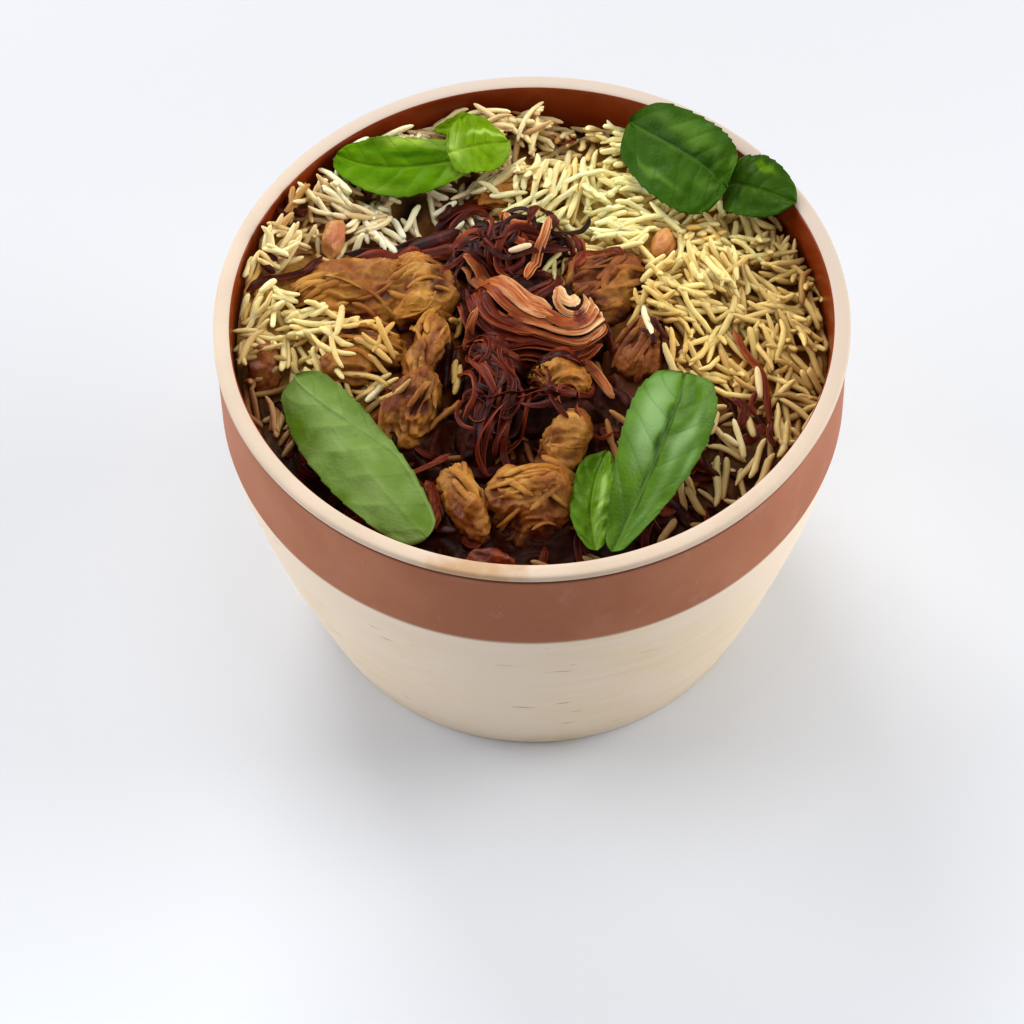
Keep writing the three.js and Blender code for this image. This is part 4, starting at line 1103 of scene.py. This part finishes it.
def makeTorn(node, shapes, seed):
    rng = np.random.default_rng(seed)
    points, quads, fibre, golden, start = [], [], [], [], 0
    for form in map(MoundForm, shapes):
        for _ in range(int(tornLook["density"] * form.length * form.width / 130)):
            x, y = (float(v[0]) for v in form.outline(rng.uniform(0, 6.3, 1), 0.88 * math.sqrt(rng.random())))
            heading, bend = math.radians(shapes[0][4]) + rng.normal(0, 0.32), rng.normal(0, 0.03)
            u = np.linspace(-0.5, 0.5, 10) * rng.uniform(*tornLook["length"])
            flat = np.stack([x + u * math.cos(heading) - bend * u ** 2 * math.sin(heading),
                             y + u * math.sin(heading) + bend * u ** 2 * math.cos(heading), 0 * u], -1)
            if form.shareAt(flat[:, 0], flat[:, 1]).max() > 1.1:
                continue
            path = laidOn(flat, solidForms, rng.uniform(*tornLook["lift"]))
            width, turn = rng.uniform(*tornLook["width"]), np.full(10, rng.normal(0, 0.4))
            ring, across, _ = ribbon(path, width, 0.6, 0.3, turn)
            points.append(ring.reshape(-1, 3))
            quads.append(gridQuads(*ring.shape[:2], wrap=True, start=start))
            fibre.append(0.5 * np.abs(across).ravel())
            golden.append(np.full(fibre[-1].size, chickenTone[node] + rng.normal(0.06, 0.16)))
            start += fibre[-1].size
    marks = {"creaseShade": np.zeros(start), "low": np.zeros(start), "fibre": np.concatenate(fibre),
             "golden": np.concatenate(golden)}
    piece = newPiece(node + "Torn", np.concatenate(points), np.concatenate(quads)[:, ::-1], materials=[flesh],
                     marks=marks)
    belongs(piece, "chicken", node)


for index, (node, shapes) in enumerate(chicken.items()):
    makeTorn(node, shapes, 500 + index)
print("chicken is torn")

# Grains: how many are dropped, their length and width, the share of broken ones, and how far the sheaves
# are apart, how much grains turn within them, and how much sheaves tilt and rise.
riceLook = {
    "attempts": 80000, "length": (10.0, 14.6), "broken": (5.0, 8.5), "brokenShare": 0.12,
    "width": (1.4, 1.85), "sheaf": 8.0, "turn": 0.34, "tilt": 0.3, "rise": 1.3, "top": 1.7, "bedDepth": 2.5,
    "reach": 74.6, "sides": 6, "rings": (-0.965, -0.84, -0.5, 0.0, 0.5, 0.84, 0.965), "roughness": 0.46,
}
riceEdge = float(innerRadius(rice["crown"])) - rice["wallGap"]
# The height map over the bowl: how far it goes from the middle, and its step.
mapHalf, mapStep = 78, 0.5
# Parts of the heap: x, y, reach, the pale and the deep colour of its grains, how full it is, and how much
# of it lies in sauce. The deep colours stand partly for saffron and sauce and partly for painted shade
# between and under the grains, and the zones along the wall at the back and at the right are deeper as
# painted shade.
riceZones = [
    (-40, 46, 14, (255, 250, 208), (202, 148, 74), 0.66, 0.0),
    (-24, 44, 9, (252, 240, 200), (124, 66, 24), 0.4, 0.1),
    (-60, 38, 13, (250, 236, 184), (186, 130, 62), 0.85, 0.0),
    (-64, 18, 12, (255, 244, 188), (226, 180, 92), 1.0, 0.0),
    (-60, 0, 12, (255, 240, 170), (228, 180, 86), 1.0, 0.0),
    (-50, -12, 9, (255, 238, 170), (212, 156, 68), 0.9, 0.0),
    (0, 66, 15, (252, 234, 176), (172, 108, 46), 0.8, 0.0),
    (18, 46, 16, (255, 253, 190), (255, 224, 134), 1.0, 0.0),
    (42, 24, 16, (255, 246, 176), (230, 176, 76), 1.0, 0.0),
    (64, 15, 13, (228, 196, 118), (150, 96, 36), 1.0, 0.0),
    (56, -10, 11, (242, 212, 130), (180, 114, 40), 1.0, 0.0),
    (66, -22, 8, (222, 186, 118), (136, 82, 30), 0.75, 0.1),
    (48, -35, 15, (240, 218, 150), (140, 92, 40), 0.15, 0.6),
    (-48, -46, 17, (96, 52, 22), (54, 20, 6), 0.02, 0.9),
    (-14, -62, 14, (130, 66, 22), (84, 32, 8), 0.02, 1.0),
    (10, -64, 12, (160, 128, 76), (62, 24, 8), 0.06, 0.8),
    (30, -60, 12, (214, 196, 140), (50, 20, 6), 0.05, 0.7),
    (0, -20, 20, (176, 110, 44), (96, 38, 8), 0.12, 0.9),
    (-30, 5, 14, (232, 184, 92), (140, 70, 16), 0.4, 0.4),
    (30, 8, 12, (238, 200, 110), (150, 84, 24), 0.55, 0.3),
    (-69, -12, 8, (150, 84, 42), (84, 32, 10), 0.15, 0.8),
]
# Single grains that lie on top: both ends x, y, and the colour.
restingGrains = [
    (-5.4, 22.1, 0.6, 23.7, (238, 206, 168)), (49.9, -23.9, 52.2, -34.6, (250, 232, 172)),
    (46.9, -28.1, 51.3, -31.1, (248, 230, 170)), (57.9, -29.1, 53.2, -39.5, (238, 210, 146)),
    (45.8, -33.1, 44.5, -46.6, (216, 200, 134)), (47.9, -33.4, 46.4, -44.6, (206, 186, 122)),
    (37, -41.8, 42.2, -49.2, (186, 160, 100)), (53.4, -22.8, 54.9, -29, (240, 214, 150)),
    (56.5, -8.9, 57, -18.4, (240, 214, 160)), (-58.3, 50.3, -55.9, 42, (238, 206, 66)),
    (-47.6, 7.5, -49.1, -3.7, (226, 204, 138)), (-42, -17.5, -36.6, -11.8, (240, 228, 184)),
    (-18, -7.6, -19.8, -16.7, (224, 186, 112)), (28.4, 5.6, 30, -4.6, (244, 230, 190)),
    (-40.4, 43.2, -41.4, 32.6, (252, 244, 222)), (-42.9, 41, -36.8, 30.1, (252, 244, 220)),
    (-35, 41.8, -32, 34.9, (250, 246, 220)), (-28, 45.8, -32.2, 37.4, (244, 238, 196)),
    (-27, 50.2, -20.5, 46.9, (250, 240, 214)), (-24.8, 42.2, -18.4, 46.1, (250, 242, 216)),
    (-22, 34, -16.6, 39.8, (250, 240, 210)), (-38.8, 37.2, -34, 29, (252, 242, 212)),
    (33, -4, 36, -13, (232, 206, 142)), (46, -22, 44, -28.5, (238, 208, 144)),
    (-20, -13.5, -19, -6, (228, 190, 104)), (60, -33, 54.6, -42, (214, 180, 112)),
    (38, -52, 46.5, -52.5, (170, 136, 78)), (30, -59, 34.5, -51, (176, 146, 90)),
]
# Hollows between the clumps, where grains are kept out and the bed is painted black, as painted shade: x, y
# and reach.
riceGaps = [
    (-31.9, 44.6, 3.2), (-29.5, 47.9, 3.4), (-41.4, 47.7, 2.6), (-34.3, 38.2, 2.0), (-25, 38.5, 2.2),
    (57, -36, 4), (42, -50, 4), (-2.9, 71.8, 2.3), (4.7, 59.9, 1.8), (14.9, 70.7, 2.6), (22.5, 72.4, 2.0),
    (-14.9, 54.4, 2.2),
]
zoneTable = np.array([(x, y, reach, *srgb(*pale), *srgb(*deep), *rest)
                      for x, y, reach, pale, deep, *rest in riceZones])


# Pale colour, deep colour, fullness and share of sauce at each place.
def zoneAt(x, y):
    dx, dy = np.asarray(x)[..., None] - zoneTable[:, 0], np.asarray(y)[..., None] - zoneTable[:, 1]
    weights = np.exp(-(dx ** 2 + dy ** 2) / zoneTable[:, 2] ** 2) + 1e-7
    return (weights / weights.sum(-1, keepdims=True)) @ zoneTable[:, 3:]


# 0 inside the hollows and 1 away from them.
def gapsAt(x, y):
    return np.prod([1 - np.exp(-((x - atX) ** 2 + (y - atY) ** 2) / reach ** 2)
                    for atX, atY, reach in riceGaps], axis=0)


# How far the rice heaps up against the chicken.
def banked(x, y):
    return 2.6 * np.exp(-(np.maximum(shareOver(x, y, chickenForms) - 1.05, 0) / 0.32) ** 2)


def bedHeight(x, y):
    flat = np.stack([x, y, np.zeros_like(x)], -1)
    rough = 0.6 * layeredNoise(flat * (1, 0.6, 1), 3.2, 21, 3) + 0.9 * noiseAt(flat, 9, 4)
    clots = 1.5 * ridges(flat, 6.5, 31, 2.2) + 0.8 * ridges(flat, 2.8, 32, 2.2)
    return riceLevel(x, y) - riceLook["bedDepth"] + rough + 0.8 * banked(x, y) + clots * zoneAt(x, y)[..., 7]


def bedMaterial():
    material, tree, shader = startMaterial("riceInShade", specular=0.16)
    shade = mixColours(tree, patches(tree, 240.0, 0.4, 0.62), (1.0, 1.0, 1.0), (0.62, 0.5, 0.36))
    colour = mixColours(tree, 1.0, markOn(tree, "tint", "Color"), shade, "MULTIPLY")
    wet = rampOf(tree, markOn(tree, "wet"), [(0.0, (0.75,) * 3), (1.0, (0.45,) * 3)])
    dress(tree, shader, colour, grit(tree, 900.0, 0.6), wet)
    return material


# The rice and sauce that the grains lie on, closed down to the floor of the bowl.
def makeBed():
    count, rings = 300, 150
    angle = anglesRound(count)
    around = np.stack([np.cos(angle), np.sin(angle)])
    x, y = np.linspace(0.6, riceEdge, rings)[:, None] * around[:, None]
    walls = [(float(innerRadius(height)) - rice["wallGap"], height) for height in (70, 40, 16)]
    walls.append((float(innerRadius(bowl["cornerHeight"])) - 7.4, 8.4))
    points = [np.stack([x, y, bedHeight(x, y)], -1).reshape(-1, 3)]
    points += [np.stack([*(radius * around), np.full(count, float(height))], -1) for radius, height in walls]
    points = np.concatenate([*points, [(0, 0, float(bedHeight(np.zeros(1), np.zeros(1))[0])), (0, 0, 7.6)]])
    total = rings + len(walls)
    zone = zoneAt(points[:, 0], points[:, 1])
    # the bed is painted as rice and sauce in shade: the deep colour, darker where the heap is thin, and black
    # in the hollows, as painted shade
    tints = zone[:, 3:6] * (0.5 + 0.4 * zone[:, 6:7]) * gapsAt(points[:, 0], points[:, 1])[:, None]
    quads, triangles = gridQuads(total, count, wrap=True)[:, ::-1], endFans(total, count)[:, ::-1]
    piece = newPiece("riceBed", points, quads, triangles, materials=[bedMaterial()], tints=tints,
                     marks={"wet": zone[:, 7]})
    belongs(piece, "rice", "rice")


# The grains lie in sheaves: the heading, tilt, rise and paleness of the nearest sheaf at each place.
def sheafField(rng, gridX, gridY):
    spacing = riceLook["sheaf"]
    cells = np.arange(-mapHalf, mapHalf + 1, spacing)
    atX, atY = (c.ravel() + rng.uniform(-0.55, 0.55, c.size) * spacing for c in np.meshgrid(cells, cells))
    warp = np.stack([gridX, gridY, np.zeros_like(gridX)], -1)
    fromX, fromY = gridX + 1.6 * noiseAt(warp, 5, 61), gridY + 1.6 * noiseAt(warp, 5, 62)
    nearest = np.array([((x[:, None] - atX) ** 2 + (y[:, None] - atY) ** 2).argmin(axis=1)
                        for x, y in zip(fromX, fromY)])
    count = len(atX)
    table = np.stack([rng.uniform(0, math.pi, count), rng.normal(0, riceLook["tilt"], count),
                      rng.normal(0, riceLook["rise"], count), rng.normal(0, 0.08, count)], -1)
    # sheaves that rise higher are painted paler and low ones deeper, as painted light on the tops and painted
    # shade in the valleys
    table[:, 3] += 0.07 * table[:, 2]
    return table[nearest]


# Everything the dropping needs to know, on the height map.
def mapOfHeap(rng):
    axis = (np.arange(int(2 * mapHalf / mapStep)) + 0.5) * mapStep - mapHalf
    x, y = np.meshgrid(axis, axis, indexing="ij")
    level, meat = riceLevel(x, y), topOver(x, y, solidForms)
    hills = 1.9 * layeredNoise(np.stack([x, y, np.zeros_like(x)], -1), 11, 91, 2) + banked(x, y)
    # the heap is packed high against the wall behind and to the left
    hills += 2.2 * smoothBetween(-10, 20, y - 0.6 * x) * smoothBetween(60, 72, np.hypot(x, y))
    hills += 1.6 * np.exp(-((x + 54) ** 2 + (y - 56) ** 2) / 20 ** 2)
    ground = bedHeight(x, y)
    ground = np.where(meat > 0, np.maximum(ground, level + meat - 0.4), ground)
    # nothing may stand higher than the leaves and onions that lie over it
    ceiling, last = np.full_like(level, 1e9), len(axis) - 1
    for cloud in leafClouds + onionClouds:
        cells = ((cloud[:, :2] + mapHalf) / mapStep).astype(int)
        for dx, dy in np.ndindex(5, 5):
            ix, iy = np.clip(cells + (dx - 2, dy - 2), 0, last).T
            np.minimum.at(ceiling, (ix, iy), cloud[:, 2] - 0.35)
    return {"level": level, "meat": meat, "hills": hills, "ground": ground, "ceiling": ceiling,
            "covered": shareOver(x, y, solidForms), "underOnion": shareOver(x, y, tangleForms),
            "fullness": zoneAt(x, y)[..., 6], "gaps": gapsAt(x, y), "sheaves": sheafField(rng, x, y)}


def cellsAt(x, y):
    return [((np.asarray(v) + mapHalf) / mapStep).astype(int) for v in (x, y)]


# Drops grains one by one onto the map; each lies on what its two halves touch.
def dropGrains(rng):
    heap, placed, spots = mapOfHeap(rng), [], np.linspace(-0.42, 0.42, 7)
    ground, gaps, covered = heap["ground"], heap["gaps"], heap["covered"]
    for _ in range(riceLook["attempts"]):
        radius, angle = riceLook["reach"] * math.sqrt(rng.random()), rng.uniform(0, 2 * math.pi)
        x, y = radius * math.cos(angle), radius * math.sin(angle)
        here = tuple(cellsAt(x, y))
        fullness = heap["fullness"][here] * gaps[here] ** 2
        if heap["underOnion"][here] < 0.84 or rng.random() > fullness ** 2:
            continue
        onMeat = covered[here] < 0.97
        # grains lie over the back piece, a few over the round one and none over the others
        riced = 0.9 if y > 42 and abs(x) < 16 else 0.12 if x < -34 and y < 6 else 0.0
        if onMeat and rng.random() > riced:
            continue
        heading, tilt, rise, paleness = heap["sheaves"][here]
        length = rng.uniform(*riceLook["broken" if rng.random() < riceLook["brokenShare"] else "length"])
        width = rng.uniform(*riceLook["width"])
        heading += rng.uniform(-1.5, 1.5) if rng.random() < 0.16 else rng.normal(0, riceLook["turn"])
        sx, sy = x + spots * length * math.cos(heading), y + spots * length * math.sin(heading)
        if np.hypot(sx, sy).max() > riceEdge:
            continue
        cx, cy = cellsAt(sx, sy)
        if gaps[cx, cy].min() < 0.45 or (not onMeat and covered[cx, cy].min() < 0.85):
            continue
        heights = ground[cx, cy]
        slope = (heights[4:].max() - heights[:3].max()) / (0.55 * length) + tilt
        slope = float(np.clip(slope + rng.normal(0, 0.4 if rng.random() < 0.25 else 0.1), -1.1, 1.1))
        along = spots * length
        middle = float(np.max(heights - slope * along)) + 0.3 * width
        level = heap["level"][here]
        top = level + riceLook["top"] + heap["hills"][here] + rise - (1 - min(fullness, 1)) * 2.4
        if onMeat:
            top = level + heap["meat"][here] + 1.2
        if middle > top or np.any(middle + slope * along + width / 2 > heap["ceiling"][cx, cy]):
            continue
        placed.append((x, y, middle, heading, math.atan(slope), length, width, paleness, middle - top))
        for px, py, high in zip(cx, cy, middle + slope * along + 0.3 * width):
            patch = ground[px - 1:px + 2, py - 1:py + 2]
            np.maximum(patch, high - 0.7, out=patch)
            ground[px, py] = max(ground[px, py], high)
    return np.array(placed, float)


def layResting():
    laid = []
    for startX, startY, endX, endY, _ in restingGrains:
        x, y = np.linspace(startX, endX, 9), np.linspace(startY, endY, 9)
        level = pileTop(x, y, tangleForms + solidForms)
        high = np.where(shareOver(x, y, tangleForms) < 1, 2.6, 1.9)
        length = math.hypot(endX - startX, endY - startY)
        slope = float(np.clip((level[-1] - level[0]) / length, -0.6, 0.6))
        middle = float(np.max(level + high - slope * np.linspace(-0.5, 0.5, 9) * length))
        laid.append((x.mean(), y.mean(), middle, math.atan2(endY - startY, endX - startX), math.atan(slope),
                     length, 1.8, 0, 0))
    return np.array(laid, float)


# Short dark shreds of onion in the sauce.
shredLook = {"attempts": 900, "reach": 72, "edge": 73.2, "radius": (3.0, 11.0), "arc": (0.7, 2.2),
             "width": (1.2, 3.2), "tone": (0.1, 0.5), "thickness": 0.4}
# Shreds laid where they show among the grains: both ends x, y, then width and tone.
shredsAmongRice = [
    (-64.5, 43, -60.5, 36, 1.8, 0.3), (-62.5, 43, -57.5, 37, 2.0, 0.22), (-61, 38.5, -56.5, 39.5, 1.5, 0.36),
    (-67.5, 29, -64, 22, 1.9, 0.24), (-66, 26.5, -60.5, 24, 1.7, 0.34), (-68.5, 24, -64.6, 18.5, 2.0, 0.2),
    (-45.5, 50.5, -41.5, 47, 1.8, 0.24), (-24, 40, -20, 44.5, 1.8, 0.22), (56, -17, 55.5, -24, 1.7, 0.4),
    (59.5, -25.5, 60, -32, 1.7, 0.36), (42, -34, 46, -39, 1.8, 0.26), (-8, 67, -2, 69, 1.7, 0.3),
    (8, 64, 13, 66.5, 1.6, 0.36), (30, 1, 35, -3, 1.8, 0.24), (33, -4.5, 38, -4, 1.7, 0.3),
    (31, -7, 27, -2, 1.8, 0.2),
]


def makeShreds(material):
    rng, ribbons = np.random.default_rng(23), []
    for _ in range(shredLook["attempts"]):
        distance, around = shredLook["reach"] * math.sqrt(rng.random()), rng.uniform(0, 2 * math.pi)
        x, y = distance * math.cos(around), distance * math.sin(around)
        radius, arc = rng.uniform(*shredLook["radius"]), rng.uniform(*shredLook["arc"])
        first = rng.uniform(0, 6.3)
        count = max(8, int(radius * arc / onionLook["step"]))
        angle = first + np.linspace(0, arc, count)
        x, y = (at + radius * (turn(angle) - turn(angle).mean()) for at, turn in ((x, np.cos), (y, np.sin)))
        clear = min(shareOver(x, y, solidForms + tangleForms))
        sauce = zoneAt(x, y)[:, 7].min()
        if np.hypot(x, y).max() > shredLook["edge"] or clear < 0.93 or rng.random() > 1.2 * sauce - 0.1:
            continue
        flat = np.stack([x, y, softened(bedHeight(x, y)) + rng.uniform(0.3, 1.9)], -1)
        wander = noiseAt(flat + 70 * len(ribbons), 5, 3)
        flat[:, 2] += 0.5 * wander
        width, cup = rng.uniform(*shredLook["width"]), rng.uniform(-0.2, 0.5)
        strip = ribbon(flat, width, shredLook["thickness"], cup, 0.7 * wander)
        ribbons.append((*strip, np.full(count, rng.uniform(*shredLook["tone"])) + 0.06 * wander))
    for startX, startY, endX, endY, width, tone in shredsAmongRice:
        middle = ((startX + endX) / 2 + 0.16 * (endY - startY), (startY + endY) / 2 - 0.16 * (endX - startX))
        seat = 2.6 + 0.5 * zoneAt(*middle)[6]
        flat = laidPath([(startX, startY), middle, (endX, endY)], solidForms, seat, 12)
        strip = ribbon(flat, width, shredLook["thickness"], 0.3, 1.1 * noiseAt(flat, 5, 5))
        ribbons.append((*strip, np.full(12, tone)))
    print("shreds", len(ribbons))
    joinRibbons("masalaShreds", ribbons, material, "rice", "rice")


def grainMaterial():
    material, tree, shader = startMaterial("cookedRice", roughness=riceLook["roughness"], specular=0.24,
                                           innerLight=(0.3, (1.0, 0.9, 0.65), 0.001))
    shade = mixColours(tree, patches(tree, 420.0, 0.45, 0.7), (1.0, 1.0, 1.0), (0.94, 0.88, 0.72))
    colour = mixColours(tree, 1.0, markOn(tree, "tint", "Color"), shade, "MULTIPLY")
    dress(tree, shader, colour, grit(tree, 1300.0, 0.15))
    return material


# Each grain as a closed rod with rounded ends, a groove, a waist and three slight bends.
def grainPoints(grains, rng, bending):
    count = len(grains)
    x, y, z, heading, tilt, length, width = (grains[:, k][:, None, None] for k in range(7))
    share = 0.5 * np.array(riceLook["rings"])[None, :, None]
    angle = anglesRound(riceLook["sides"])[None, None, :]
    skew = rng.uniform(-0.1, 0.1, (count, 1, 1))
    fullness = np.clip(1 - np.abs(2 * (share + skew * (0.25 - share ** 2) * 4)) ** 5.5, 0.08, 1) ** 0.55
    groove = 1 - 0.10 * np.cos(2 * angle + rng.uniform(0, 6.3, (count, 1, 1)))
    waist = 1 + 0.07 * np.cos(9 * share + rng.uniform(0, 6.3, (count, 1, 1)))
    radius = width / 2 * fullness * groove * waist
    bend = rng.normal(0, bending, (count, 1, 1)) * (length / 10) ** 2
    curl = rng.normal(0, 0.3, (count, 1, 1)) * (length / 10)
    sway = rng.normal(0, 0.3, (count, 1, 1)) * (length / 10) ** 2
    across = radius * np.cos(angle) * 1.06 + bend * (1 - (2 * share) ** 2) + curl * np.sin(6.3 * share)
    above = radius * np.sin(angle) * 0.94 + sway * (1 - (2 * share) ** 2)
    body = np.stack([share * length + 0 * angle, across, above], -1).reshape(count, -1, 3)
    tips = np.array([(-0.5, 0, 0), (0.5, 0, 0)]) * length
    lx, ly, lz = np.moveaxis(np.concatenate([body, tips], 1)[..., None], 2, 0)
    forward, lifted = lx * np.cos(tilt) - lz * np.sin(tilt), lx * np.sin(tilt) + lz * np.cos(tilt)
    return np.concatenate([x + forward * np.cos(heading) - ly * np.sin(heading),
                           y + forward * np.sin(heading) + ly * np.cos(heading), z + lifted], -1)


# Paler and deeper grains, each changing along its length; lower grains are painted deeper, as
# painted shade, and each grain is painted deeper and warmer underneath, as painted shade and the light
# that comes through the grains around.
def grainTints(grains, rng, lengthwise):
    count, rings = len(grains), len(riceLook["rings"])
    zone = zoneAt(grains[:, 0], grains[:, 1])
    pale, deep = zone[:, 0:3], zone[:, 3:6]
    # grains that lie lower in the heap are painted deeper, as painted shade, and higher ones paler
    paleness = np.clip(rng.beta(3.0, 1.0, (count, 1)) + grains[:, 7:8] + 0.16 * (grains[:, 8:9] + 0.8), 0, 1)
    first = deep + (pale - deep) * paleness
    second = deep + (pale - deep) * np.clip(paleness + rng.normal(0, 0.2, (count, 1)), 0, 1)
    tints = first[:, None] * (1 - lengthwise) + second[:, None] * lengthwise
    tints = tints * rng.uniform(0.94, 1.04, (count, 1, 1))
    # the underside of each grain is painted deeper and warmer, as painted shade with the light that comes
    # through the grains around
    under = np.tile(0.62 * smoothBetween(0.5, -0.8, np.sin(anglesRound(riceLook["sides"]))), rings)
    under = np.concatenate([under, [0.2, 0.2]])[None, :, None]
    return tints * (1 - under) + 0.85 * deep[:, None] * under


def makeGrains(name, grains, rng, material, colours=None):
    count, sides, rings = len(grains), riceLook["sides"], len(riceLook["rings"])
    points = grainPoints(grains, rng, 0.52 if colours is None else 0.25)
    start = (np.arange(count) * (rings * sides + 2))[:, None, None]
    quads = (gridQuads(rings, sides, wrap=True)[None] + start).reshape(-1, 4)
    triangles = (endFans(rings, sides)[None] + start).reshape(-1, 3)
    lengthwise = np.repeat(0.5 * np.array(riceLook["rings"]) + 0.5, sides)
    lengthwise = np.concatenate([lengthwise, [0, 1]])[None, :, None]
    tints = grainTints(grains, rng, lengthwise)
    if colours is not None:
        tints = np.array([srgb(*c) for c in colours])[:, None] * (0.9 + 0.1 * lengthwise)
    piece = newPiece(name, points.reshape(-1, 3), quads, triangles, materials=[material],
                     tints=np.clip(tints.reshape(-1, 3), 0, 1))
    belongs(piece, "rice", "rice")
    print(name, count)


makeBed()
makeShreds(onionMaterial)
grainRandom = np.random.default_rng(5)
cooked = dropGrains(grainRandom)
riceSkin = grainMaterial()
makeGrains("riceGrainsA", cooked[np.argsort(cooked[:, 0])], grainRandom, riceSkin)
makeGrains("topGrains", layResting(), grainRandom, riceSkin, [grain[4] for grain in restingGrains])
print("rice is heaped")
